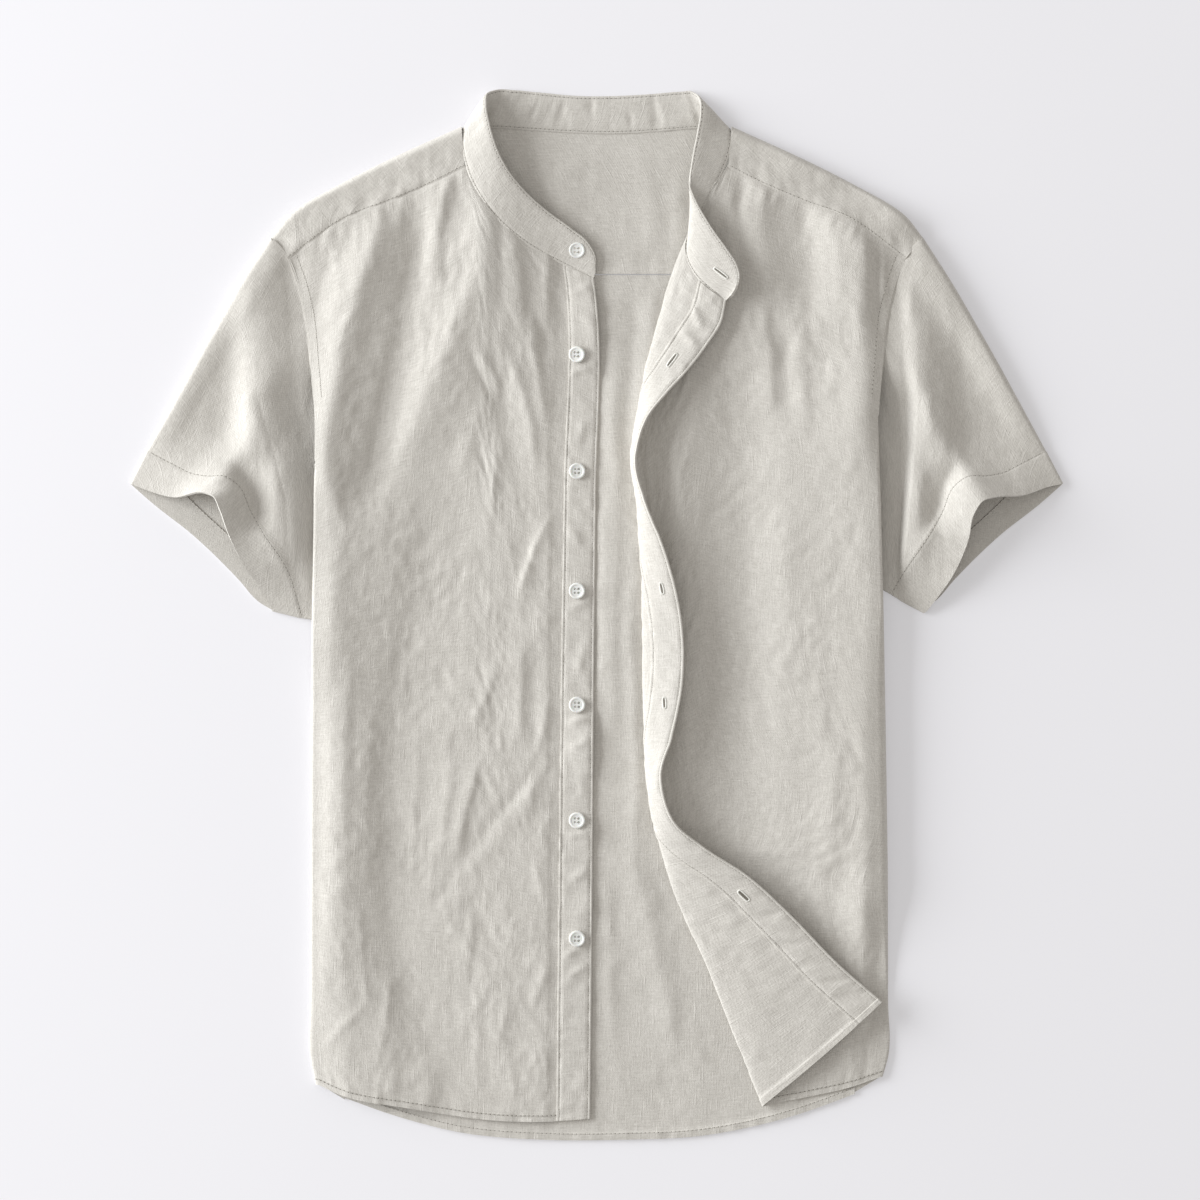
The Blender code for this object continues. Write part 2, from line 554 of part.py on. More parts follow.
def build_placket(name, front, over_hem, linen):
    """A strip along the front's edge on the side of its normals, over its hem where that is turned there."""
    columns = slice(0, PLACKET_COLUMNS + 1)
    normal = normals_of(front)[:, columns]
    lift = np.full(normal.shape[:2], CLOTH / 2 + SEAM)
    if over_hem:
        lift[-2:] += HEM_EXTRA
    strip = trimmed(front[:, columns], top=0.6, bottom=0.4, first=0.3)
    wall(name, strip, lift + FACING, -lift, linen, normal=normal)
    return strip + normal * (lift + FACING)[..., None]


def build_back(linen):
    """Back panel, flat on the table: its folds are raised on its upper face only."""
    columns = 14
    across = np.linspace(0.0, 1.0, columns)
    down = np.concatenate([np.linspace(0.0, 1.0 - HEM / 600.0, 18), [1.0 - (HEM - STEP) / 600.0, 1.0]])
    edges = []
    for side, armhole in ((-1, RIGHT_BACK_ARMHOLE), (1, LEFT_BACK_ARMHOLE)):
        curve = spline(armhole, np.linspace(0.0, 1.0, 40))
        low = curve[curve[:, 1] < 243.0]
        whole = np.vstack([[(218.5, 243.5)], low, [SIDE_SEAM[side][0]]])
        whole[:, 0] -= 0.4 + 0.8 * smooth((whole[:, 1] - armhole[-1][1] + 50.0) / 50.0)
        edges.append(mirrored(straight(whole, down), side))
    top = straight([edges[0][0], edges[1][0]], across)
    bottom = spline([edges[0][-1], *BACK_HEM[1:-1], edges[1][-1]], across)
    plan = coons(top, bottom, *edges, across, down)
    points = np.dstack([plan, np.full(plan.shape[:2], FLOOR)])
    below = CLOTH / 2 + np.maximum(ridges(plan[..., 0], plan[..., 1], BACK_FOLDS), 0.0)
    below[-2:] += HEM_EXTRA
    wall("back", points, CLOTH / 2, below, linen)


def build_yoke(linen):
    """Yoke: its back lies on the table, and a strip at each end folds over the shoulder to the front."""
    arm, middle, back_rows, roll_rows, front_rows_count = 7, 10, 4, 5, 3
    columns = []
    for side in (-1, 1):
        stations = spline(np.array(SHOULDER), np.linspace(0.0, 1.0, arm))
        strips = []
        for back_out, back_y, fold_out, fold_y, front_out, front_y in stations:
            fold = np.array([side * fold_out, fold_y])
            front = np.array([side * front_out, front_y])
            back = np.array([side * back_out, back_y])
            inward = (front - fold) / np.linalg.norm(front - fold)
            z = float(top_height(front[:1], front[1:])[0])
            radius = (z - FLOOR) / 2
            centre = np.array([*(fold + inward * (radius + CLOTH / 2)), FLOOR + radius])
            toward = -inward
            turn = arc(centre, toward, radius, -90.0, 90.0, roll_rows + 2)
            low = np.linspace([*back, FLOOR], turn[0], back_rows)[:-1]
            high = np.linspace(turn[-1], [*front, z], front_rows_count + 1)[1:]
            strips.append(np.vstack([low, turn, high]))
        columns.append(np.array(strips))
    left, right = columns[0][::-1], columns[1]
    share = np.linspace(0.0, 1.0, middle + 2)[1:-1]
    neck = spline(BACK_NECK, share)
    total_rows = left.shape[1]
    between = np.zeros((middle, total_rows, 3))
    low_ends = left[-1, 0], right[0, 0]
    for k, (x, y) in enumerate(neck):
        start = low_ends[0] + (low_ends[1] - low_ends[0]) * share[k]
        between[k, :back_rows] = np.linspace(start, [x, y, FLOOR], back_rows)
        between[k, back_rows:] = between[k, back_rows - 1]
    points = np.vstack([left, between, right]).transpose(1, 0, 2)
    keep = np.ones((points.shape[0] - 1, points.shape[1] - 1), bool)
    keep[back_rows - 1 :, arm - 1 : arm + middle] = False
    points[:, 0, :] += (points[:, 1, :] - points[:, 0, :]) * 0.02
    points[:, -1, :] += (points[:, -2, :] - points[:, -1, :]) * 0.02
    points[-1] += (points[-2] - points[-1]) * 0.10
    wall("yoke", points, CLOTH / 2, CLOTH / 2, linen, keep=keep)


def sleeve_layer(top, seam, hem, outer, under, across, body_rows, hem_rows):
    """Rows from the armhole to the turned hem's edge, then through the hem; height grows late."""
    rise = body_rows**2
    body = coons(top, seam, outer[0], under[0], across, body_rows)
    late = coons(top, seam, outer[0], under[0], across, rise)
    body[..., 2] = late[..., 2]
    turned = coons(seam, hem, outer[1], under[1], across, hem_rows)
    return np.vstack([body, turned])


def build_sleeve(name, side, back_armhole, underarm, wave, linen):
    """Sleeve: a flattened tube, its back layer on the table and its front layer arched at the hem."""
    across = np.linspace(0.0, 1.0, DENSE + 1)
    body_rows = np.linspace(0.0, 1.0, 9)
    hem_rows = np.array([0.05, 0.5, 1.0])
    seam_front = spline([(235.0, 271.0), *FRONT_ARMHOLE, (196.5, 95.0), underarm[0]], across)
    body_z = top_height(side * seam_front[:, 0], seam_front[:, 1])
    tucked = smooth((192.0 - seam_front[:, 1]) / 44.0)
    front_top = np.column_stack([seam_front, body_z * (1 - tucked) + TUCK_Z * tucked])
    outer = np.column_stack([spline(OUTER_FOLD, body_rows), np.linspace(body_z[0], 3.6, len(body_rows))])
    under = np.column_stack([spline(underarm, body_rows), np.full(len(body_rows), TUCK_Z)])
    stitch = spline([*SLEEVE_STITCH, (*underarm[-1], TUCK_Z)], across)
    hem = spline(wave, across)
    outer_hem = stitch[0] + (hem[0] - stitch[0]) * hem_rows[:, None]
    under_hem = stitch[-1] + (hem[-1] - stitch[-1]) * hem_rows[:, None]
    front = sleeve_layer(
        front_top, stitch, hem, (outer, outer_hem), (under, under_hem), across, body_rows, hem_rows
    )
    shares = np.concatenate([body_rows, np.ones(len(hem_rows))])
    middle = np.sin(np.pi * across)[None]
    puff = np.sin(np.pi * shares)[:, None] * PUFF
    front[..., 2] += middle * (puff + ridges(front[..., 0], front[..., 1], SLEEVE_RIDGES))
    front[0, :, 2] = front_top[:, 2]
    beyond = front[..., 0] - BODY_SIDE
    clear = TUCK_Z + np.maximum(beyond, 0.0) + 40.0 * smooth((front[..., 1] - 146.0) / 46.0)
    front[..., 2] = np.minimum(front[..., 2], clear)

    flat = np.full(len(across), FLOOR)
    back_top = np.column_stack([spline(back_armhole, across), flat])
    back_stitch = np.column_stack([spline([*BACK_STITCH, underarm[-1]], across), flat])
    back_hem = np.column_stack([spline(SLEEVE_HEM_BACK, across), flat])
    back_hem[0, :2], back_hem[-1, :2] = hem[0, :2], hem[-1, :2]
    low = [line.copy() for line in (outer, under, outer_hem, under_hem)]
    for line in low:
        line[:, 2] = FLOOR
    back = sleeve_layer(
        back_top, back_stitch, back_hem, (low[0], low[2]), (low[1], low[3]), across, body_rows, hem_rows
    )
    rings = np.array([sleeve_ring(f, b) for f, b in zip(front, back)])
    rings[..., 0] *= side
    rings = trimmed_rings(rings, SEAM)
    extra = np.zeros(rings.shape[:2])
    extra[len(body_rows) :] = HEM_EXTRA
    normal = normals_of(rings, tube=True)
    outward = normal[2, FRONT_RING // 2, 2] > 0
    sides = (CLOTH / 2 + extra, CLOTH / 2) if outward else (CLOTH / 2, CLOTH / 2 + extra)
    wall(name, rings, *sides, linen, tube=True)


def sleeve_ring(front, back):
    """One closed ring: front layer, fold at the underarm, back layer, fold at the shoulder side."""
    parts = []
    for layer, other in ((front, back), (back[::-1], front[::-1])):
        run = lengths(layer)
        ends = [abs(layer[k, 2] - other[k, 2]) / 2 for k in (0, -1)]
        inset = [end + CLOTH / 2 for end in ends]
        count = FRONT_RING if layer is front else BACK_RING
        shortened = at_lengths(layer, np.linspace(inset[0], run[-1] - inset[1], count + 1))
        parts.append(shortened)
    ring = []
    for layer, following in ((parts[0], parts[1]), (parts[1], parts[0])):
        ring.append(layer)
        start, end = layer[-1], following[0]
        outward = layer[-1, :2] - layer[-2, :2]
        outward = outward / np.linalg.norm(outward)
        radius = abs(start[2] - end[2]) / 2
        share = np.linspace(0.0, 1.0, FOLD_RING + 1)[1:-1, None]
        angle = np.pi * share
        between = start + (end - start) * (1 - np.cos(angle)) / 2
        between[:, :2] += outward * radius * np.sin(angle)
        ring.append(between)
    return np.vstack(ring)


def trimmed_rings(rings, gap):
    """Rings whose first one is drawn back from the armhole seam."""
    rings = rings.copy()
    step = rings[1] - rings[0]
    rings[0] += step * (gap / np.linalg.norm(step, axis=1))[:, None]
    return rings


def build_collar(left_front, linen):
    """Collar band: ruled between the neck seam and the band's top edge, turned over with the flap."""
    columns = 5
    rows = []
    turned_edge = left_front[0]
    for part, seam_x, seam_y, seam_z, *top in COLLAR:
        if part == "front":
            seam_z = float(top_height(np.array([seam_x]), np.array([seam_y]))[0])
        seam = np.array([seam_x, seam_y, seam_z])
        if part == "turn":
            dense = at_lengths(turned_edge, np.linspace(0.0, lengths(turned_edge)[-1] * 0.5, 400))
            seam = dense[np.argmin(np.linalg.norm(dense[:, :2] - seam[:2], axis=1) + (dense[:, 2] < 6.0) * 4)]
        rows.append([*seam, *top])
    rows = np.array(rows)
    order = np.arange(len(rows), dtype=float)
    curved = np.concatenate([order[3:13], order[16:28]])
    fine = np.sort(np.concatenate([order, curved + 0.5]))
    rows = np.stack([np.interp(fine, order, rows[:, k]) for k in range(6)], axis=1)
    smoothed = rows.copy()
    smoothed[1:-1] = rows[1:-1] * 0.6 + (rows[:-2] + rows[2:]) * 0.2
    seam, top = smoothed[:, :3], smoothed[:, 3:]
    across = top - seam
    seam = seam + across * (COLLAR_SEAM_GAP / np.linalg.norm(across, axis=1))[:, None]
    share = np.linspace(0.0, 1.0, columns)[None, :, None]
    points = seam[:, None] * (1 - share) + top[:, None] * share
    reach = np.full(points.shape[:2], BAND / 2)
    reach[:, 0] = CLOTH / 2
    wall("collar", points, reach, reach, linen)
    normal = normals_of(points)
    upward = np.sign(normal[2, columns // 2, 2])
    return points + normal * upward * reach[..., None]


def button_profile():
    """Half section of a button: radius and height pairs, from the middle of its face to its back."""
    rim, dish = BUTTON_RADIUS - BUTTON_RIM, BUTTON_THICK - BUTTON_DISH
    return (
        (0.0, dish),
        (rim - 0.6, dish),
        (rim + 0.4, BUTTON_THICK),
        (BUTTON_RADIUS - 0.5, BUTTON_THICK - 0.15),
        (BUTTON_RADIUS, BUTTON_THICK * 0.55),
        (BUTTON_RADIUS - 1.2, 0.0),
        (0.0, 0.0),
    )


def button_mesh(material):
    """Turned disc with a raised rim round its dished middle."""
    segments = 18
    turn = np.linspace(0.0, 2 * np.pi, segments, endpoint=False)
    shape = bmesh.new()
    rings = []
    for radius, height in button_profile():
        angles = turn[:1] if radius == 0.0 else turn
        ring = [(radius * math.cos(angle), radius * math.sin(angle), height) for angle in angles]
        rings.append([shape.verts.new(place) for place in ring])
    for upper, lower in zip(rings, rings[1:]):
        for k in range(segments):
            corners = [upper[k % len(upper)], lower[k % len(lower)]]
            corners += [lower[(k + 1) % len(lower)], upper[(k + 1) % len(upper)]]
            shape.faces.new(list(dict.fromkeys(corners)))
    mesh = bpy.data.meshes.new("button")
    shape.to_mesh(mesh)
    shape.free()
    return mesh


def button_seat(cloth, x, y):
    """Middle of a button's underside and the way it faces, where it rests on the upper side of a grid."""
    rows, columns = cloth.shape[:2]
    fine_rows = np.linspace(0.0, rows - 1.0, 8 * rows)
    fine_columns = np.linspace(0.0, columns - 1.0, 8 * columns)
    k = np.minimum(fine_rows.astype(int), rows - 2)
    down = (fine_rows - k)[:, None, None]
    dense = cloth[k] * (1 - down) + cloth[k + 1] * down
    k = np.minimum(fine_columns.astype(int), columns - 2)
    along = (fine_columns - k)[None, :, None]
    dense = (dense[:, k] * (1 - along) + dense[:, k + 1] * along).reshape(-1, 3)
    near = dense[np.hypot(dense[:, 0] - x, dense[:, 1] - y) < BUTTON_RADIUS]
    flat = np.column_stack([np.ones(len(near)), near[:, 0] - x, near[:, 1] - y])
    level, slope_x, slope_y = np.linalg.lstsq(flat, near[:, 2], rcond=None)[0]
    facing = np.array([-slope_x, -slope_y, 1.0])
    facing /= np.linalg.norm(facing)
    middle = np.array([x, y, level])
    return middle + facing * (((near - middle) @ facing).max() + SEAM), facing


def build_buttons(placket, collar, material):
    """Seven buttons, each resting on the cloth under it and tilted with it."""
    places = [(*COLLAR_BUTTON, collar)] + [(BUTTON_X, y, placket) for y in BUTTONS_Y]
    for number, (x, y, cloth) in enumerate(places, start=1):
        middle, facing = button_seat(cloth, x, y)
        obj = finished(f"button_{number}", button_mesh(material), material, 30.0)
        obj.data.transform(((MM, 0, 0, 0), (0, MM, 0, 0), (0, 0, MM, 0), (0, 0, 0, 1)))
        obj.rotation_euler = Vector((0.0, 0.0, 1.0)).rotation_difference(Vector(facing)).to_euler()
        obj.location = Vector(middle * MM)


def plain_material(name, colour, roughness):
    """A Principled surface of one colour."""
    material = bpy.data.materials.new(name)
    material.use_nodes = True
    shader = material.node_tree.nodes["Principled BSDF"]
    shader.inputs["Base Color"].default_value = colour
    shader.inputs["Roughness"].default_value = roughness
    material.diffuse_color = colour
    return material


def main():
    for obj in list(bpy.data.objects):
        bpy.data.objects.remove(obj, do_unlink=True)
    linen = {
        name: plain_material(name, LINEN, 0.9)
        for name in ("body_linen", "band_linen", "placket_linen", "sleeve_linen")
    }
    shell = plain_material("button_resin", BUTTON_WHITE, 0.35)
    build_back(linen["body_linen"])
    build_yoke(linen["body_linen"])
    right = build_front("front_right", right_front_grid(), -1, linen["body_linen"])
    left = build_front("front_left", left_front_grid(), 1, linen["body_linen"])
    right_placket = build_placket("placket_right", right, False, linen["placket_linen"])
    build_placket("placket_left", left, True, linen["placket_linen"])
    build_sleeve("sleeve_right", -1, RIGHT_BACK_ARMHOLE, RIGHT_UNDERARM, RIGHT_WAVE, linen["sleeve_linen"])
    build_sleeve("sleeve_left", 1, LEFT_BACK_ARMHOLE, LEFT_UNDERARM, LEFT_WAVE, linen["sleeve_linen"])
    collar = build_collar(left, linen["band_linen"])
    build_buttons(right_placket, collar, shell)


main()
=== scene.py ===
"""Cloth, seams and buttons of a short-sleeved linen shirt, laid on its back with the left front turned open.

Frame: +X towards the shirt's left sleeve, +Y towards the collar, +Z up, the table at z = 0. Shapes are
worked out in millimetres on grids of middle points, and written in metres. "out" is the distance from
the shirt's middle line to either side. A grid's flat places, across and down the cloth, carry the weave.
"""

import math

import bpy
import numpy as np
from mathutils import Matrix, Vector


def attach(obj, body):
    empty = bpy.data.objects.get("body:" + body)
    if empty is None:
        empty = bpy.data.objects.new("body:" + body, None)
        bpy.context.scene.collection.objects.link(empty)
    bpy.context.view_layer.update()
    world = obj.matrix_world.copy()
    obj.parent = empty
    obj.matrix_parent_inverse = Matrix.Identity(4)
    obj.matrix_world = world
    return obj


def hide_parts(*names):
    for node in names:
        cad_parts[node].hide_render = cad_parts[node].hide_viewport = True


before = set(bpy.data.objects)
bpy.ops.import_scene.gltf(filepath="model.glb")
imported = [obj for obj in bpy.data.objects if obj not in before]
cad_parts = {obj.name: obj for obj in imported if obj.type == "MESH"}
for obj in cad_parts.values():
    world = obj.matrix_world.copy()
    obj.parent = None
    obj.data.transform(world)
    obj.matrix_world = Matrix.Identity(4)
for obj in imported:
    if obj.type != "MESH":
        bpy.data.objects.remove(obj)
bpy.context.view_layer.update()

MM = 0.001

# Cloth
LAYER = 1.2  # room that one layer of cloth takes
THIN = 0.8  # thickness of one layer of linen
HEM_EXTRA = 0.5  # what a turned hem adds
HEM = 5.5  # width of the body's narrow hem
STEP = 0.8  # length over which a turned hem's edge rises
LAP = 2.5  # how far a panel runs on under the piece sewn over it
FLOOR = LAYER / 2

# Heights of the middle of the cloth above the table
CENTRE_Z = 2.5
FOLD_Z = 3.0
BODY_Z = 9.0
HEM_Z = 7.6
TUCK_Z = 2.2
LIP_RADIUS = 1.9
UNDER = 22.0
FRONT_LENGTH = 620.0

PLACKET_MARKS = (0.0, 0.4, 1.1, 2.0, 2.9, 5.0, 7.5, 10.0, 12.25, 14.5, 17.0, 19.5, 21.6, 22.5, 23.4, 24.1, 24.5)
PLACKET = PLACKET_MARKS[-1]
PLACKET_STITCH = 2.0  # distance of each stitch line from the placket's edges
BUTTON_RADIUS = 5.9
BUTTON_THICK = 2.5

# Shoulder, both sides: back yoke seam, shoulder fold and front yoke seam, from neck to armhole
SHOULDER = (  # back out, back y, fold out, fold y, front out, front y
    (97.0, 245.0, 97.0, 351.0, 94.5, 321.0),
    (130.0, 244.5, 141.0, 331.0, 115.0, 310.5),
    (165.0, 244.0, 185.0, 309.0, 148.0, 297.0),
    (196.0, 244.0, 219.0, 289.0, 183.0, 283.0),
    (218.5, 244.5, 235.0, 271.0, 221.5, 255.0),
)
BACK_NECK = ((-97.0, 350.0), (-77.0, 351.5), (-23.0, 347.0), (20.0, 346.0), (72.0, 351.0), (97.0, 350.0))
FRONT_ARMHOLE = ((221.5, 255.0), (214.0, 234.0), (209.0, 213.0), (205.0, 176.0), (202.5, 145.0))
RIGHT_BACK_ARMHOLE = ((235.0, 271.0), (218.5, 244.5), (198.0, 169.0), (188.0, 90.0), (181.0, -2.0))
LEFT_BACK_ARMHOLE = ((235.0, 271.0), (218.5, 244.5), (198.0, 169.0), (188.0, 104.0), (181.0, 32.0))

# Side folds of the body, from the armhole down to the hem corner
RIGHT_SIDE = ((202.5, 145.0), (203.0, 77.0), (204.5, 0.0), (206.0, -278.0), (206.0, -318.0), (202.0, -337.0))
LEFT_SIDE = ((202.5, 145.0), (204.0, 77.0), (206.0, 0.0), (210.0, -278.0), (210.0, -318.0), (206.0, -332.0))
TUCKS = (  # y above the underarm, share of the full side roll, share of the depth turned under
    (112.0, 0.0, 0.0),
    (86.0, 0.0, 0.2),
    (0.0, 0.0, 1.0),
    (-24.0, 0.0, 1.0),
    (-84.0, 1.0, 1.0),
)
SIDE_SEAM = {-1: ((181.0, -348.0), (181.0, 40.0)), 1: ((186.0, -345.0), (181.0, 40.0))}  # out, y

RIGHT_NECK = ((-2.0, 242.0), (-28.0, 254.0), (-49.0, 265.0), (-65.0, 277.0), (-80.0, 293.0), (-94.5, 321.0))
RIGHT_EDGE = ((-2.0, 242.0), (0.0, 226.0), (-0.5, 82.0), (-2.0, -62.0), (-3.0, -206.0), (-4.5, -363.0))
RIGHT_HEM = (
    (-4.5, -363.0), (-26.0, -364.5), (-72.0, -364.0), (-134.0, -355.0), (-184.0, -345.0), (-202.0, -337.0),
)
LEFT_NECK = ((65.0, 273.0), (75.0, 289.0), (82.0, 304.0), (94.5, 321.0))
LEFT_HEM = ((126.0, -352.0), (157.0, -346.0), (183.0, -340.0), (206.0, -332.0))
BACK_HEM = (
    (-181.0, -348.0), (-147.0, -360.0), (-96.0, -373.0), (-37.0, -378.0),
    (17.0, -378.0), (76.0, -375.0), (144.0, -360.0), (186.0, -345.0),
)

# Left front turned open: where it folds, and where its free edge then lies
TURN = (  # fold x, fold y, edge x, edge y, edge z, middle z, sag of the row
    (65.0, 273.0, 93.0, 225.0, 14.1, 10.7, 0.6),
    (54.0, 244.0, 89.0, 208.0, 14.8, 9.8, 0.45),
    (47.0, 218.0, 80.0, 194.0, 14.8, 9.0, 0.3),
    (41.0, 196.0, 72.0, 183.0, 15.4, 9.0, 0.15),
    (36.0, 178.0, 63.0, 172.0, 16.7, 9.0, 0.0),
    (33.0, 161.0, 51.0, 159.0, 18.5, 9.8, 0.0),
    (28.5, 136.0, 36.0, 139.0, 20.4, 11.5, 0.0),
    (26.0, 110.0, 28.5, 110.0, 21.1, 12.4, 0.0),
    (29.0, 85.0, 33.5, 86.0, 20.4, 11.5, 0.0),
    (32.0, 46.0, 49.0, 46.0, 19.8, 9.8, 0.0),
    (34.0, -4.0, 61.0, -4.0, 18.5, 9.0, 0.0),
    (34.0, -47.0, 62.0, -47.0, 18.5, 9.0, 0.0),
    (35.0, -90.0, 54.0, -89.0, 19.8, 10.7, 0.0),
    (37.0, -121.0, 46.5, -116.0, 20.4, 11.5, 0.0),
    (41.0, -146.0, 55.0, -147.0, 19.1, 10.7, 0.0),
    (48.0, -171.0, 75.0, -165.0, 16.7, 9.0, 0.0),
    (59.0, -202.0, 107.0, -186.0, 14.8, 8.1, 0.0),
    (80.0, -245.0, 137.0, -213.0, 13.5, 8.1, 0.0),
    (102.0, -297.0, 172.0, -249.0, 12.8, 8.1, 0.0),
    (126.0, -352.0, 205.0, -278.0, 12.2, 8.1, 0.0),
)
TURN_START = 9.0  # distance from the fold at which the front begins to turn up

# Sleeves: the open hem of the front layer stands up in a wave
OUTER_FOLD = ((235.0, 271.0), (251.0, 246.0), (281.0, 195.5), (304.0, 153.5), (323.0, 118.5))
RIGHT_UNDERARM = ((181.0, -2.0), (204.0, -4.0), (211.0, -3.0))
LEFT_UNDERARM = ((181.0, 32.0), (204.0, 18.5), (211.0, 14.5))
SLEEVE_STITCH = (  # out, y, z: the top edge of the turned hem on the front layer
    (323.0, 118.5, 3.6),
    (305.0, 109.0, 6.0),
    (291.0, 102.0, 9.2),
    (278.0, 99.5, 14.6),
    (265.0, 99.0, 18.9),
    (256.5, 93.0, 18.0),
    (247.5, 73.5, 12.9),
    (238.5, 58.5, 9.9),
    (223.0, 35.5, 6.0),
)
RIGHT_WAVE = (  # out, y, z: the hem of the right sleeve's front layer
    (335.5, 94.0, 3.0),
    (324.0, 89.5, 4.4),
    (303.0, 84.0, 9.4),
    (281.0, 87.0, 20.6),
    (274.0, 84.5, 24.1),
    (269.5, 75.0, 22.3),
    (264.0, 58.5, 17.2),
    (252.0, 34.0, 10.3),
    (242.0, 20.0, 6.4),
    (232.5, 3.0, 2.6),
)
LEFT_WAVE = (  # out, y, z: the same on the left sleeve
    (335.5, 94.0, 3.0),
    (326.0, 92.0, 5.0),
    (306.0, 85.5, 12.0),
    (286.0, 84.0, 20.6),
    (276.0, 81.0, 24.1),
    (270.0, 72.0, 22.3),
    (266.5, 54.0, 16.3),
    (254.0, 25.0, 9.4),
    (244.5, 11.5, 6.0),
    (237.0, 1.5, 2.6),
)
BACK_STITCH = ((323.0, 118.5), (295.0, 86.0), (264.0, 57.0), (235.0, 32.0))
SLEEVE_HEM_BACK = ((335.5, 94.0), (319.0, 79.5), (291.0, 57.5), (258.0, 25.5), (243.0, 9.0), (233.0, 3.0))

SIDE_SLOPE = {-1: 30.0, 1: 20.0}  # width over which the body thins out towards its side folds
SIDE_FALL = {-1: 0.40, 1: 0.06}  # share of its height that it loses there
SLEEVE_CREST = {  # out of the sleeve's inner fold, and the width of its slope to the body, both against y
    -1: (
        ((262.0, 236.0), (241.0, 242.0), (198.0, 244.0), (154.0, 243.0), (118.0, 232.0), (82.0, 223.0),
         (40.0, 221.0)),
        ((262.0, 18.0), (198.0, 30.0), (118.0, 28.0), (40.0, 20.0)),
    ),
    1: (
        ((262.0, 221.0), (241.0, 224.0), (198.0, 230.0), (154.0, 232.0), (118.0, 230.0), (82.0, 226.0),
         (40.0, 222.0)),
        ((262.0, 8.0), (198.0, 12.0), (118.0, 7.0), (40.0, 6.0)),
    ),
}
SLEEVE_FOLD_HEIGHT = {-1: 4.6, 1: 3.6}  # how far the inner fold stands up on the upper arm
SLEEVE_FOLD_LOW = 7.0  # and near the hem
PUFF = 4.0  # how far a sleeve's front layer rises between its folds
BODY_SIDE = 206.0  # the sleeve stays low inside of this, where the body's side lies over it

# Folds: start x, start y, end x, end y, bow, half-width, height, lean. A ridge has a positive height, a
# trough a negative one; seen running down, a positive lean makes the right side the steeper one
RIGHT_FOLDS = (
    (-195, 270, -201, 205, 0, 7, -1.6, 0),
    (-108, 319, -121, 232, 0, 6.5, 3.2, 0.3),
    (-67, 313, -69, 205, 0, 5, -1.4, 0),
    (-49, 298, -54, 194, 0, 10, -0.8, 0),
    (-60, 271, -54, 201, 0, 6, 1.4, 0.3),
    (-49, 223, -36, 131, 0, 5.5, 2.2, 0.3),
    (-37, 278, -34, 199, 0, 5, 1.6, 0.3),
    (-74, 182, -40, 48, 0, 6, -2.4, 0),
    (-64, 189, -41, 104, 3, 4.5, 1.7, 0),
    (-92, 192, -75, 152, 0, 3.5, -1.5, 0),
    (-85, 194, -69, 156, 0, 3.5, 1.2, 0),
    (-34, 74, -56, 6, -3, 3.6, 1.9, -0.4),
    (-55, 68, -64, -18, 0, 6, -1.3, 0),
    (-131, -54, -131, -214, 0, 2.2, 0.9, -0.2),
    (-123, -89, -121, -181, 0, 4, -1.4, 0),
    (-85, -99, -104, -181, 0, 6.5, 2, 0.5),
    (-102, -92, -114, -177, 0, 5, 1.2, 0.3),
    (-55, -15, -53, -96, 0, 6, 1.5, 0.4),
    (-44, -24, -44, -99, 0, 4, -1, 0),
    (-32, -53, -44, -111, 0, 3.6, 1.5, 0.2),
    (-45, -99, -48, -151, 0, 5, 1.2, 0.4),
    (-34, -108, -36, -155, 0, 3.5, -1.1, 0),
    (-37, -206, -46, -177, 0, 3.5, 1, 0.2),
    (-36, -245, -45, -285, 0, 4, 1.2, 0.2),
    (-147, -215, -150, -350, 0, 12, 1.0, 0.2),
    (-166, -242, -165, -285, 0, 2.8, 0.8, 0.2),
    (-147, -260, -157, -321, 0, 3, 0.9, 0.2),
    (-201, -317, -166, -280, 0, 3, 0.8, 0),
    (-172, -209, -166, -252, 0, 3, 0.8, 0),
    (-87, -202, -93, -267, 0, 4, 0.9, 0.3),
    (-61, -267, -71, -314, 0, 4, 0.8, 0.2),
    (-102, -231, -75, -255, 0, 3.5, 0.7, 0),
    (-84, -278, -87, -350, 0, 5, 0.9, 0.3),
    (-66, -314, -55, -355, 0, 5, 0.8, 0),
    (-120, -321, -124, -363, 0, 9, 1.8, 0.2),
    (-177, -18, -183, -177, 0, 5, 0.7, 0.3),
    (-162, -62, -166, -206, 0, 5, 0.6, 0.3),
    (-69, -29, -90, -87, 0, 4, 1, 0.3),
    (-97, -54, -108, -105, 0, 4, 0.9, 0.3),
    (-69, 133, -80, 39, 0, 7, 1.3, 0.3),
    (-97, 133, -91, 39, 0, 6, 1, 0.2),
)
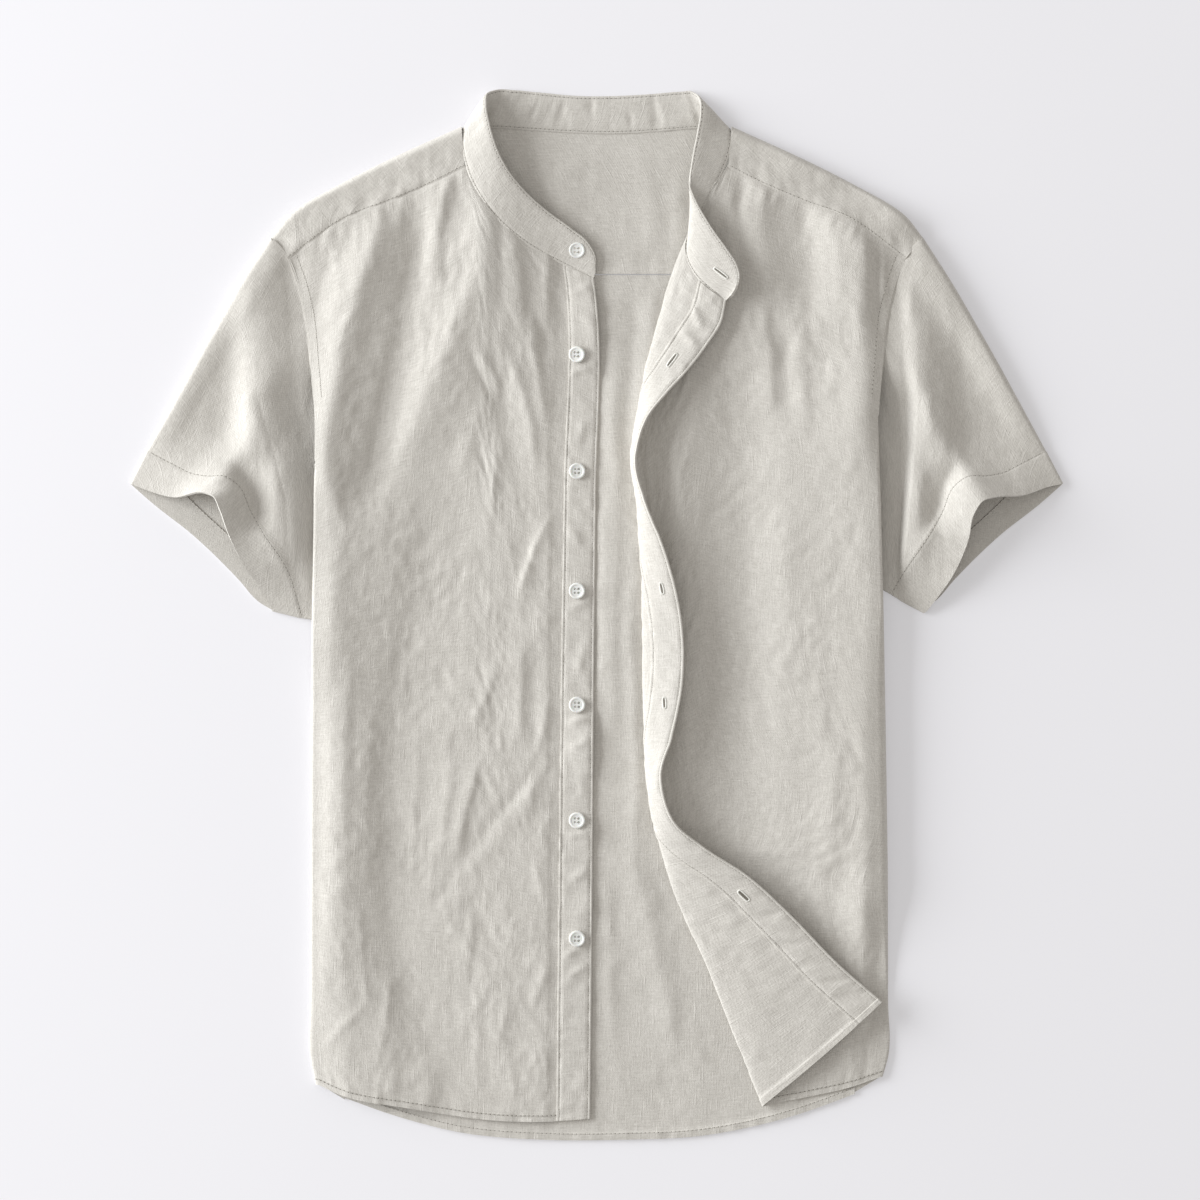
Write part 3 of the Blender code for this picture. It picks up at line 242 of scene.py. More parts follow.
LEFT_FOLDS = (
    (111, 320, 126, 226, 0, 12, 2, 0.2),
    (149, 309, 151, 208, 0, 19, -4.4, 0.36),
    (105, 334, 100, 205, 0, 7, -2.2, 0),
    (87, 316, 79, 277, 0, 5, 1.6, 0.2),
    (95, 314, 100, 271, 0, 4, 1.2, 0.3),
    (165, 301, 177, 213, 0, 7, 1, 0.2),
    (191, 277, 197, 213, 0, 3.6, 1.7, 0.4),
    (204, 265, 208, 222, 0, 3.6, 1.5, 0.4),
    (199, 273, 203, 194, 0, 5, -2.2, 0),
    (121, 218, 126, 137, 0, 7, 1.7, 0.4),
    (131, 221, 139, 140, 0, 6, -1.6, 0),
    (143, 213, 151, 126, 0, 8, 1.2, 0.2),
    (194, -170, 183, -332, 0, 14, 3.4, 0.3),
    (210, -191, 195, -332, 0, 5, -1.2, 0),
    (132, 97, 141, -105, 0, 18, 1.2, 0.2),
    (93, 111, 106, -62, 0, 14, -1.6, 0),
    (155, 39, 162, -105, 0, 9, 0.9, 0.2),
    (174, -76, 165, -206, 0, 8, 1, 0.3),
    (180, -227, 174, -335, 0, 7, 1, 0.3),
    (75, 39, 83, -18, 0, 5, 0.8, 0.3),
    (54, 133, 67, 39, 0, 6, 0.9, 0.2),
    (49, 104, 59, 39, 0, 4, 0.7, 0.2),
    (181, -306, 188, -337, 0, 4, 0.8, 0.2),
    (159, -191, 177, -278, 0, 6, 0.8, 0.3),
)
# Long ridges and troughs: half-width, height, lean, and the points that they run through
RIGHT_RIDGES = (
    (12, 5.4, 0.05, (-150, 302), (-162, 259), (-176, 219), (-188, 162), (-193, 104), (-189, 54)),
    (14, 3.4, 0, (-193, 133), (-189, 39), (-192, -62), (-190, -155), (-198, -285), (-202, -335)),
    (13, -6.0, 0, (-121, 316), (-129, 255), (-139, 196), (-149, 147), (-160, 100), (-173, 61)),
    (19, -4.8, 0, (-108, 133), (-102, 82), (-107, 39), (-127, -26), (-140, -108), (-140, -206), (-139, -278),
     (-136, -335)),
    (18, 3.9, -0.4, (-85, 334), (-84, 248), (-104, 201), (-123, 156), (-134, 126), (-143, 97)),
    (10, -2.8, 0, (-216, 288), (-216, 273), (-214, 234), (-213, 194), (-209, 154), (-204, 122)),
    (3.8, -1.7, 0, (-30, -81), (-39, -95), (-49, -115), (-76, -151), (-102, -188), (-123, -221)),
    (5, 0.6, -0.2, (-23, -87), (-41, -116), (-67, -152), (-93, -190), (-116, -226)),
)
EDGE_LIFTS = (  # place down the right front's free edge, half its length, height
    (243, 9, 1.2),
    (221, 11, 2.6),
    (201, 12, 2.7),
    (182, 10, 1.2),
    (-86, 13, 2.4),
    (-104, 12, 1.7),
    (-156, 8, 1.0),
    (-209, 9, 0.9),
)
LEFT_RIDGES = (
    (18, 5.2, 0.2, (168, 356), (181, 298), (188, 241), (191, 198), (194, 140), (195, 82)),
    (12, 1.2, 0, (195, 169), (197, 39), (195, -105), (194, -206), (187, -321)),
    (14, -4.2, 0.1, (207, 288), (214, 254), (217, 226), (216, 194), (210, 154), (204, 111), (203, 82)),
)
BACK_FOLDS = (
    (28, 252, 26, -130, 0, 22, 1.7, 0),
    (14, 240, 11, -120, 0, 7, 1.5, 0.2),
    (27, 236, 22, 90, 0, 4, -0.8, 0),
    (42, 244, 33, 120, 0, 6, 1.2, 0),
    (24, 60, 30, -190, 0, 5, 1.1, 0),
    (6, 90, 5, -60, 0, 4, 0.8, 0.2),
    (16, -150, 60, -330, 4, 9, 1.4, 0),
    (8, -180, 12, -330, 0, 5, 0.8, 0),
    (70, -290, 74, -360, 0, 6, 1.0, 0),
    (-20, 330, -30, 270, 0, 10, 0.8, 0),
    (30, 332, 44, 262, 2, 8, 0.8, 0),
    (58, 320, 60, 262, 0, 6, 0.7, 0),
    (28, -333, 76, -330, 0, 2.5, 0.5, 0),
)
SLEEVE_FOLDS = (
    (264, 236, 268, 98, 0, 25, -7.0, -0.42),
    (258, 112, 240, 58, 0, 8, -5.5, 0),
    (296, 180, 304, 130, 0, 8, 0.9, 0),
    (248, 240, 256, 190, 0, 4, 1.0, 0.2),
    (276, 180, 284, 120, 0, 4, 0.7, 0.2),
    (228, 262, 224, 205, 0, 3.5, 1.3, -0.2),
    (234, 266, 232, 236, 0, 3.0, 1.2, 0.2),
    (250, 170, 248, 108, 2, 4, 0.8, 0),
    (226, 110, 232, 60, 0, 4, 0.9, 0),
)
PLACKET_CREASES = (
    (-22, 172, -4, 178, 1.5, 2.0, 1.4, 0.2),
    (-23, 90, -5, 94, 1.5, 2.0, 1.2, 0.2),
    (-23, 232, -5, 238, -2, 2.4, 1.4, 0.2),
    (-21, 4, -5, 9, 1.5, 2.0, 1.4, 0.2),
    (-22, -79, -5, -73, 1.5, 2.2, 1.5, 0.2),
    (-22, -96, -5, -88, -2, 2.4, 1.4, 0.2),
    (-22, -162, -6, -157, 1.5, 2.0, 1.2, 0.2),
    (-20, -190, -6, -181, -2, 2.4, 1.4, 0.2),
    (-24, -247, -8, -240, 1.5, 2.2, 1.5, 0.2),
    (-22, -262, -9, -254, 0, 2.2, 1.2, 0.2),
    (-18, 62, -10, 48, 1, 2.6, 0.9, 0.2),
    (-10, -20, -14, -44, 1, 2.6, 0.9, 0.2),
    (-12, -112, -10, -132, 0, 2.6, 0.9, 0.2),
    (-9, 140, -14, 120, 0, 2.4, 1.0, 0.2),
)
FLAP_CREASES = (
    (69, 224, 78, 205, 0, 2.2, 1.2, 0.2),
    (61, 205, 73, 193, 0, 2.2, 1.2, 0.2),
    (88, 236, 80, 222, 0, 2.4, 0.9, 0.2),
    (56, 184, 66, 176, 0, 2.2, 1.0, 0.2),
    (104, -243, 132, -262, 3, 3.0, 1.6, 0.2),
    (90, -212, 104, -222, 0, 2.4, 1.0, 0.2),
)

# Mandarin collar, from the right front's end round the neck to the left front's end
COLLAR = (  # part of the neck, seam x, seam y, seam z, top x, top y, top z
    ("front", -2.0, 242.0, 0.0, -0.5, 247.0, 4.0),
    ("front", -6.0, 244.0, 0.0, 0.3, 257.0, 5.0),
    ("front", -13.0, 247.0, 0.0, -4.0, 267.0, 6.0),
    ("front", -26.0, 253.0, 0.0, -17.0, 277.0, 7.0),
    ("front", -49.0, 265.0, 0.0, -38.0, 291.0, 9.0),
    ("front", -65.0, 277.0, 0.0, -51.0, 303.0, 11.5),
    ("front", -80.0, 293.0, 0.0, -64.0, 318.0, 14.5),
    ("front", -91.0, 313.0, 0.0, -72.0, 334.0, 17.0),
    ("shoulder", -95.5, 329.0, 8.9, -77.0, 352.0, 18.0),
    ("shoulder", -96.5, 342.0, 8.4, -79.5, 366.0, 16.5),
    ("shoulder", -97.0, 350.6, 4.6, -79.0, 375.5, 10.0),
    ("back", -94.0, 349.5, 1.6, -74.0, 377.5, 4.2),
    ("back", -77.0, 351.5, 1.0, -60.0, 377.5, 1.8),
    ("back", -48.0, 349.0, 1.0, -38.0, 375.5, 1.2),
    ("back", -20.0, 347.0, 1.0, -17.0, 372.5, 1.0),
    ("back", 20.0, 346.0, 1.0, 20.0, 373.0, 1.0),
    ("back", 49.0, 348.5, 1.0, 46.0, 375.0, 1.2),
    ("back", 74.0, 351.0, 1.0, 63.0, 376.5, 1.6),
    ("back", 90.0, 350.0, 1.6, 69.5, 376.5, 3.0),
    ("shoulder", 97.0, 350.6, 4.6, 74.0, 373.0, 7.0),
    ("shoulder", 96.5, 341.0, 8.4, 75.0, 362.0, 11.5),
    ("shoulder", 95.0, 330.0, 8.9, 72.5, 347.0, 14.0),
    ("front", 90.0, 317.0, 0.0, 69.0, 331.0, 14.5),
    ("front", 82.0, 304.0, 0.0, 67.2, 318.0, 14.0),
    ("front", 75.0, 289.0, 0.0, 66.4, 311.0, 14.0),
    ("turn", 65.0, 273.0, 0.0, 66.8, 306.0, 15.5),
    ("turn", 66.0, 257.0, 0.0, 74.0, 290.0, 17.5),
    ("turn", 71.0, 244.0, 0.0, 84.0, 274.0, 18.5),
    ("turn", 77.5, 236.5, 0.0, 94.0, 261.0, 19.0),
    ("turn", 84.5, 231.0, 0.0, 101.8, 249.5, 19.0),
    ("turn", 88.5, 228.2, 0.0, 103.2, 242.0, 18.7),
    ("turn", 91.5, 226.4, 0.0, 101.6, 234.5, 18.4),
    ("turn", 93.2, 225.3, 0.0, 97.4, 228.6, 18.0),
)

BUTTONS_Y = (187.0, 103.0, 17.0, -65.0, -148.0, -233.0)  # on the placket
BUTTON_X = -14.0
COLLAR_BUTTON = (-14.0, 262.0)

BUTTONHOLES = (  # both ends of each on the left placket, and half its slit's width
    ((59.0, 187.1), (51.0, 177.3), 0.6),
    ((45.0, 22.7), (47.9, 13.3), 0.65),
    ((48.6, -58.0), (47.9, -67.3), 0.65),
    ((101.6, -198.6), (109.6, -205.0), 1.0),
)
COLLAR_BUTTONHOLE = ((84.0, 248.9), (93.5, 240.3), 0.55)

THREAD_HOLE = 1.4  # a button's four holes, out from its middle along both axes

BAND = 2.0  # thickness of the doubled collar band
BAND_LAP = 0.8  # the band's lower edge takes in this much of the panels

# Stitch lines: distance in from the edge that they follow
BACK_HEM_STITCH = 4.6
FRONT_HEM_STITCH = 4.4
ARMHOLE_STITCH = 7.0
ARMHOLE_DOWN = 112.0  # how far down a front its armhole stitching runs
EDGE_STITCH = 1.8  # yoke and collar band

# Grid sizes
ROWS = 286
DENSE = 120  # steps of a plan row on each side of the yoke's corner
TOP_COLUMNS = (44, 60)  # inner side of the yoke's corner, outer side
TURN_COLUMNS = 34
ROLL_COLUMNS = 10
UNDER_COLUMNS = 6
FRONT_RING, BACK_RING, FOLD_RING = 88, 44, 9  # steps of a sleeve's ring: each layer, and each fold
SLEEVE_ROWS = 92

RIGHT_CORNER = len(PLACKET_MARKS) - 1 + TOP_COLUMNS[0]
LEFT_CORNER = RIGHT_CORNER + TURN_COLUMNS

# Tones, darkest first where there are two
LINEN_TONE = (0.615, 0.595, 0.56)
# the thread's own tone, set darker than the linen so that stitch lines read dark: partly painted shade of the
# grooves they sit in
SEWING_TONE_WITH_GROOVE_SHADE = (0.52, 0.50, 0.46)
BUTTONHOLE_TONE = (0.70, 0.69, 0.65)
# painted shade: tones of the dark plates that stand for the shade inside buttonhole slits and needle holes
SLIT_PAINTED_SHADE_TONES = (0.10, 0.09, 0.075), (0.22, 0.20, 0.17)
BUTTON_TONES = (0.76, 0.755, 0.73), (0.85, 0.845, 0.82)
PAPER_TONES = (0.622, 0.618, 0.65), (0.637, 0.633, 0.665)
PAPER_GLOW = 0.235  # light from the rest of the pale room that reaches the table
WINDOW_TONE = (0.965, 0.985, 1.0)
ROOM_TONE = (1.0, 0.972, 0.935, 1.0)

# Light and view
WINDOW_HEIGHT, WINDOW_TURN = 16.5, 166.0  # degrees above the table, and round from +X
WINDOW_DISTANCE, WINDOW_SIZE, WINDOW_POWER = 4.5, (3.2, 2.5), 345.0
FILL = 0.56  # strength of the light from all round
CAMERA_PLACE = (0.0025, 0.0104, 3.0)
VIEW_WIDTH = 0.864


def smooth(share):
    """Goes from 0 to 1 with a soft start and end: 3s^2 - 2s^3."""
    share = np.clip(share, 0.0, 1.0)
    return share * share * (3.0 - 2.0 * share)


def spline(points, at):
    """Points on a smooth curve through the given ones, at shares of its chord length."""
    points = np.asarray(points, float)
    chord = np.concatenate([[0.0], np.cumsum(np.linalg.norm(np.diff(points, axis=0), axis=1))])
    slope = np.gradient(points, chord, axis=0)
    along = np.clip(np.asarray(at, float), 0.0, 1.0) * chord[-1]
    k = np.clip(np.searchsorted(chord, along, side="right") - 1, 0, len(chord) - 2)
    reach = (chord[k + 1] - chord[k])[:, None]
    t = (along - chord[k])[:, None] / reach
    return (
        points[k] * (1 + 2 * t) * (1 - t) ** 2
        + slope[k] * reach * t * (1 - t) ** 2
        + points[k + 1] * t * t * (3 - 2 * t)
        + slope[k + 1] * reach * t * t * (t - 1)
    )


def straight(points, at):
    """Points on the run of straight lines through the given ones, at shares of its length."""
    points = np.asarray(points, float)
    run = lengths(points)
    marks = np.asarray(at, float) * run[-1]
    return np.stack([np.interp(marks, run, points[:, axis]) for axis in range(points.shape[1])], axis=1)


def mirrored(points, side):
    """A table in (out, y, ...) turned into (x, y, ...) for the side -1 or +1."""
    points = np.array(points, float)
    points[:, 0] *= side
    return points


def coons(top, bottom, left, right, across, down):
    """Grid between four edges: the two ruled surfaces added, less the flat one through the corners."""
    s = across[None, :, None]
    t = down[:, None, None]
    corners = (
        (1 - s) * (1 - t) * top[0] + s * (1 - t) * top[-1] + (1 - s) * t * bottom[0] + s * t * bottom[-1]
    )
    return (1 - t) * top[None] + t * bottom[None] + (1 - s) * left[:, None] + s * right[:, None] - corners


def lengths(path):
    """Distance run along a path at each of its points."""
    return np.concatenate([[0.0], np.cumsum(np.linalg.norm(np.diff(path, axis=0), axis=1))])


def at_lengths(path, marks):
    """Points of a path at the given distances along it."""
    run = lengths(path)
    return np.stack([np.interp(marks, run, path[:, axis]) for axis in range(path.shape[1])], axis=1)


def arc(centre, outward, radius, first, last, count):
    """Points of a circle's arc in the upright plane of `outward`, from one angle to another in degrees."""
    angle = np.radians(np.linspace(first, last, count))
    flat = centre[None, :2] + outward[None] * (radius * np.cos(angle))[:, None]
    return np.column_stack([flat, centre[2] + radius * np.sin(angle)])


def hills(x, y, seed):
    """Random smooth hills about one unit across: a slope is drawn for each whole-number place, and the
    planes of the four places round a point are blended with 6t^5 - 15t^4 + 10t^3."""
    angle = np.random.default_rng(seed).uniform(0.0, 2 * np.pi, (64, 64))
    i, j = np.floor(x).astype(int), np.floor(y).astype(int)
    s, t = x - i, y - j

    def corner(right, up):
        """Height of the plane of one of the four places."""
        turn = angle[(i + right) % 64, (j + up) % 64]
        return np.cos(turn) * (s - right) + np.sin(turn) * (t - up)

    a, b = (k**3 * (k * (k * 6 - 15) + 10) for k in (s, t))
    low = corner(0, 0) * (1 - a) + corner(1, 0) * a
    high = corner(0, 1) * (1 - a) + corner(1, 1) * a
    return 1.5 * (low * (1 - b) + high * b)


def fold_heights(x, y, table):
    """Height of a table's folds. Across a fold, t is the distance over its half-width and the height goes
    as exp(-(t^2 + 0.1)^0.75), a little narrower on the side that it leans to; along it, both ends are soft."""
    warped_x = x + 2.4 * hills(x / 38.0, y / 46.0, 11)
    warped_y = y + 2.4 * hills(x / 38.0, y / 46.0, 12)
    total = np.zeros_like(x)
    for x0, y0, x1, y1, bow, half_width, height, lean in table:
        length = math.hypot(x1 - x0, y1 - y0)
        ux, uy = (x1 - x0) / length, (y1 - y0) / length
        along = ((warped_x - x0) * ux + (warped_y - y0) * uy) / length
        right = (warped_y - y0) * ux - (warped_x - x0) * uy - bow * 4.0 * along * (1.0 - along)
        t = right / (half_width * np.where(right > 0.0, 1.0 - lean, 1.0 + lean))
        ends = smooth((along + 0.06) / 0.34) * smooth((1.06 - along) / 0.34)
        total += height * ends * np.exp(0.178 - (t * t + 0.1) ** 0.75)
    return total


def ridge_heights(x, y, table):
    """Height of a table's long ridges: as a fold's, with the distance taken from a smooth path through the
    row's points, nearest piece first."""
    warped_x = x + 1.6 * hills(x / 30.0, y / 40.0, 13)
    warped_y = y + 1.6 * hills(x / 30.0, y / 40.0, 14)
    total = np.zeros_like(x)
    for half_width, height, lean, *corners in table:
        path = spline(np.array(corners), np.linspace(0.0, 1.0, 6 * len(corners)))
        step, run = np.diff(path, axis=0), lengths(path)
        from_x, from_y = warped_x[..., None] - path[:-1, 0], warped_y[..., None] - path[:-1, 1]
        along = (from_x * step[:, 0] + from_y * step[:, 1]) / np.diff(run) ** 2
        along = np.clip(along, 0.0, 1.0)
        away = np.hypot(from_x - along * step[:, 0], from_y - along * step[:, 1])
        nearest = away.argmin(axis=-1)[..., None]
        side = np.sign(from_y * step[:, 0] - from_x * step[:, 1])
        away, side = (np.take_along_axis(a, nearest, -1)[..., 0] for a in (away, side))
        share = np.take_along_axis(run[:-1] + along * np.diff(run), nearest, -1)[..., 0] / run[-1]
        t = away / (half_width * np.where(side > 0.0, 1.0 - lean, 1.0 + lean))
        ends = smooth(share / 0.22) * smooth((1.0 - share) / 0.22)
        total += height * ends * np.exp(0.178 - (t * t + 0.1) ** 0.75)
    return total


def crumple(across, down, seed):
    """Fine creases of worn linen: hills whose zero lines stand up as sharp ridges, at three sizes."""
    turned = across * 0.8 + down * 0.6, down * 0.8 - across * 0.6
    large = 1.0 - 2.4 * np.abs(hills(across / 34.0, down / 52.0, seed))
    middle = 1.0 - 2.4 * np.abs(hills(turned[0] / 13.0, turned[1] / 19.0, seed + 1))
    small = 1.0 - 2.4 * np.abs(hills(across / 7.0, down / 10.0, seed + 2))
    patch = 0.55 + 0.9 * smooth(0.5 + hills(across / 60.0, down / 60.0, seed + 3))
    fluff = hills(turned[0] / 3.6, turned[1] / 5.0, seed + 4)
    return patch * (0.34 * large + 0.28 * middle + 0.15 * small) + 0.05 * fluff


def puckers(away, along, height, reach, period, seed):
    """Short ripples that run out from a seam and die away from it as exp(-away / reach)."""
    ripple = hills(along / period, away / (3.2 * period), seed) + 0.5 * hills(
        along / (0.5 * period), away / (2.0 * period), seed + 1
    )
    return height * np.exp(-np.maximum(away, 0.0) / reach) * ripple


def top_height(x, y):
    """Middle height of the top layer, as on both fronts and on the yoke's front strips: a base that rises
    from the middle of the body in smooth steps, with each side's folds added and soft limits set."""
    turn = np.array(TURN)
    fold_x = np.interp(y, turn[::-1, 1], turn[::-1, 0])
    at_neck = smooth((y - 250.0) / 60.0)
    chest = smooth((y - 110.0) / 110.0)

    # Left of the fold: a shallow dip under the flap, then a rise from a little beyond its free edge
    start = np.maximum(98.0, np.interp(y, turn[::-1, 3], turn[::-1, 2]) + 14.0)
    dip = 0.70 * smooth((x - fold_x - 6.0) / 26.0) - 0.62 * smooth((x - 61.0) / 37.0)
    dip *= 1.0 - smooth((-y - 110.0) / 50.0)
    rise = 0.98 * smooth((x - start) / 42.0) + 0.80 * smooth((x - start - 24.0) / 70.0)
    dip += rise * (1.0 - 0.5 * smooth((-y - 190.0) / 70.0))
    near_fold = smooth((x - fold_x - 8.0) / 38.0) * chest + dip * (1.0 - chest)
    left = FOLD_Z + (BODY_Z - FOLD_Z) * np.maximum(near_fold, at_neck)

    # Right front: low at the placket, whose free edge lifts here and there, and high towards the side
    near_middle = 0.14 * smooth((-x - 22.0) / 20.0) + 0.86 * smooth((-x - 98.0) / 82.0)
    near_middle = smooth((-x - 20.0) / 50.0) * chest + near_middle * (1.0 - chest)
    right = CENTRE_Z + (BODY_Z - CENTRE_Z) * near_middle
    lift = sum(height * np.exp(-(((y - place) / half) ** 2)) for place, half, height in EDGE_LIFTS)
    right = right + lift * smooth((x + 26.0) / 24.0)

    # Folds die away at the flap and the placket, and are shallow on the shoulder
    on_left = x > 10.0
    base = np.where(on_left, left, right)
    free = np.where(on_left, smooth((x - fold_x - 6.0) / 20.0), smooth((-x - 26.0) / 9.0))
    right_folds = fold_heights(x, y, RIGHT_FOLDS) + ridge_heights(x, y, RIGHT_RIDGES)
    left_folds = fold_heights(x, y, LEFT_FOLDS) + ridge_heights(x, y, LEFT_RIDGES)
    folds = np.where(on_left, left_folds, right_folds) * free
    at_shoulder = smooth((y - 268.0 + 0.46 * (np.abs(x) - 97.0) - 40.0) / 20.0)
    height = base + folds * (1 - 0.7 * at_shoulder)

    # A trough levels out above the back, and the hem lies lower than the body
    low = CENTRE_Z + 0.1
    height = np.where(height < low + 2.0, low + 2.0 * np.exp((height - low - 2.0) / 2.0), height)
    height = np.maximum(height, CENTRE_Z)
    height = np.where(base < CENTRE_Z + 0.6, np.minimum(height, base + np.maximum(folds, 0.0)), height)
    at_hem = smooth((-y - 290.0) / 60.0)
    return height - np.maximum(height - HEM_Z, 0.0) * at_hem * 0.75


def side_fold(path, side, radius, depth, skew):
    """The path's end turned round the body's side and under it, with its marks from the side seam inward."""
    outward = np.array([side, 0.0])
    inset = radius + LAYER / 2 if radius else 0.1
    path = at_lengths(path, np.linspace(0.0, lengths(path)[-1] - inset, DENSE * 2))
    steps = [4.0 / UNDER_COLUMNS] * UNDER_COLUMNS
    if radius:
        centre = path[-1] - np.array([0.0, 0.0, radius])
        path = np.vstack([path, arc(centre, outward, radius, 90.0, -90.0, 24)[1:]])
        seam_out, seam_y = np.array(SIDE_SEAM[side]).T
        end_y = path[-1, 1] - skew * depth
        edge = np.interp(end_y, seam_y, seam_out) + 0.15
        end_x = side * max(edge, side * path[-1, 0] - depth)
        path = np.vstack([path, [end_x, end_y, path[-1, 2]]])
        steps = [max(abs(end_x - path[-2, 0]), 4.0) / UNDER_COLUMNS] * UNDER_COLUMNS
    steps += [max(math.pi * radius, 8.0) / ROLL_COLUMNS] * ROLL_COLUMNS
    return path, np.cumsum([0.0] + steps)


def front_rows(side, plan, inner_paths, marks_of):
    """Grid of a front and its flat places. Each plan row gets its height, which falls off towards the side,
    then its side fold and its columns. `inner_paths` gives what comes before the row, and `marks_of` that
    part's columns."""
    rows, runs = [], []
    heights = top_height(plan[..., 0], plan[..., 1])
    underarm_y = (LEFT_BACK_ARMHOLE if side > 0 else RIGHT_BACK_ARMHOLE)[-1][1]
    tuck_y, tuck_share, tuck_depth = np.array(TUCKS).T
    for row, flat in enumerate(plan):
        down = underarm_y - flat[-1, 1]
        share = np.interp(down, -tuck_y, tuck_share)
        to_side = lengths(flat[::-1])[::-1]
        falling = (0.06 + SIDE_FALL[side] * share) * smooth((down + 86.0) / 60.0)
        falling = falling * (1.0 - smooth(to_side / SIDE_SLOPE[side]))
        path = np.column_stack([flat, FLOOR + (heights[row] - FLOOR) * (1.0 - falling)])
        depth = np.interp(down, -tuck_y, tuck_depth) * UNDER
        full = (path[-1, 2] - FLOOR) / 2
        radius = (LIP_RADIUS + (full - LIP_RADIUS) * share) * smooth((down + tuck_y[0]) / 26.0)
        skew = 0.5 * smooth((-path[-1, 1] - 180.0) / 150.0)
        inner, start = inner_paths(row, path)
        corner_run = lengths(path)[DENSE] - start
        outer, ends = side_fold(path, side, float(radius) if depth > 0.0 else 0.0, depth, skew)
        whole = np.vstack([inner, outer[lengths(outer) > start]])
        total = lengths(whole)[-1]
        first = marks_of(inner)
        middle = lengths(inner)[-1] + corner_run
        marks = np.concatenate(
            [
                first,
                np.linspace(first[-1], middle, TOP_COLUMNS[0] + 1)[1:],
                np.linspace(middle, total - ends[-1], TOP_COLUMNS[1] + 1)[1:],
                total - ends[-2::-1],
            ]
        )
        rows.append(at_lengths(whole, marks))
        runs.append(marks)
    across = np.array(runs)
    down = np.broadcast_to(row_shares()[:, None] * FRONT_LENGTH, across.shape)
    return np.array(rows), np.dstack([across, down])


def row_shares():
    """Shares of a front's length for its rows, with a narrow step at the hem's turned edge."""
    hem_top = 1.0 - HEM / FRONT_LENGTH
    step = hem_top + STEP / FRONT_LENGTH
    return np.concatenate(
        [np.linspace(0.0, hem_top, ROWS - 6), [(hem_top + step) / 2], np.linspace(step, 1.0, 5)]
    )


def front_plan(neck, hem, inner, outer, corner_share):
    """Plan points of a front's top layer, from its inner edge out to the armhole and the side fold."""
    across = np.concatenate(
        [np.linspace(0.0, corner_share, DENSE + 1), np.linspace(corner_share, 1.0, DENSE + 1)[1:]]
    )
    return coons(neck, spline(hem, across), inner, outer, across, row_shares())


def outer_edge(side_table, side):
    """Armhole and side fold as one run of plan points, one for each row."""
    whole = np.vstack([mirrored(FRONT_ARMHOLE[:-1], side), mirrored(side_table, side)])
    return spline(whole, row_shares())


def top_edge(neck, side):
    """Neck seam and front yoke seam from the inner edge to the armhole, `DENSE` steps for each."""
    yoke = mirrored([row[4:6] for row in SHOULDER], side)
    even = np.linspace(0.0, 1.0, DENSE + 1)
    return np.vstack([spline(neck, even), spline(yoke, even)[1:]])


def right_front_grid():
    """Right front, from its straight placket edge to the side seam under the body."""
    inner = spline(RIGHT_EDGE, row_shares())
    plan = front_plan(top_edge(RIGHT_NECK, -1), RIGHT_HEM, inner, outer_edge(RIGHT_SIDE, -1), 0.42)
    return front_rows(-1, plan, lambda row, path: (path[:1], 0.0), lambda path: np.array(PLACKET_MARKS))


def left_front_grid():
    """Left front: free edge, turned flap, fold, then the layer that lies on the body. The flap's row is a
    cubic curve that leaves the lower layer inward, turns up at the fold and runs out to the free edge."""
    turn = spline(np.array(TURN), row_shares())
    plan = front_plan(top_edge(LEFT_NECK, 1), LEFT_HEM, turn[:, :2], outer_edge(LEFT_SIDE, 1), 0.30)

    def turned_flap(row, path):
        """The flap's curve at a row, from its free edge to where the lower layer begins to turn up."""
        fold_x, fold_y, edge_x, edge_y, edge_z, middle_z, sag = turn[row]
        start = at_lengths(path, [TURN_START])[0]
        inward = start - path[0]
        inward /= np.linalg.norm(inward)
        flap = np.array([edge_x - fold_x, edge_y - fold_y])
        reach = (TURN_START + np.linalg.norm(flap)) / 6.0
        along = flap / max(np.linalg.norm(flap), 1e-6)
        low = path[0] - inward * reach
        level = np.array([fold_x, fold_y]) - along * reach * (1 - sag) - np.array([reach, 0.0]) * sag
        level = level + np.array([0.0, sag * flap[1]])
        high = np.array([level[0], level[1], middle_z])
        edge = np.array([edge_x, edge_y, edge_z])
        t = np.linspace(0.0, 1.0, 4 * DENSE)[::-1, None]
        curve = start * (1 - t) ** 3 + 3 * low * t * (1 - t) ** 2 + 3 * high * t * t * (1 - t) + edge * t**3
        return curve, TURN_START

    def turn_marks(inner):
        """Columns of the flap: the placket's own marks, then even steps round the fold."""
        run = lengths(inner)
        steps = np.arange(len(run))
        even = np.linspace(np.interp(PLACKET, run, steps), len(run) - 1, TURN_COLUMNS + 1)
        return np.concatenate([PLACKET_MARKS, np.interp(even[1:], steps, run)])

    return front_rows(1, plan, turned_flap, turn_marks)


def quads_of(rows, columns, tube=False):
    """Corner numbers of a grid's cells, shape (rows - 1, columns or columns - 1, 4)."""
    index = np.arange(rows * columns).reshape(rows, columns)
    if tube:
        index = np.hstack([index, index[:, :1]])
    return np.stack([index[:-1, :-1], index[:-1, 1:], index[1:, 1:], index[1:, :-1]], axis=-1)


def normals_of(points, tube=False, keep=None):
    """Unit normal at each point of a grid, from the cells round it."""
    quads = quads_of(*points.shape[:2], tube)
    quads = (quads[keep] if keep is not None else quads).reshape(-1, 4)
    flat = points.reshape(-1, 3)
    corner = flat[quads]
    face = np.cross(corner[:, 2] - corner[:, 0], corner[:, 3] - corner[:, 1])
    total = np.zeros_like(flat)
    for k in range(4):
        for axis in range(3):
            total[:, axis] += np.bincount(quads[:, k], face[:, axis], len(flat))
    size = np.linalg.norm(total, axis=1, keepdims=True)
    return (total / np.where(size > 0.0, size, 1.0)).reshape(points.shape)


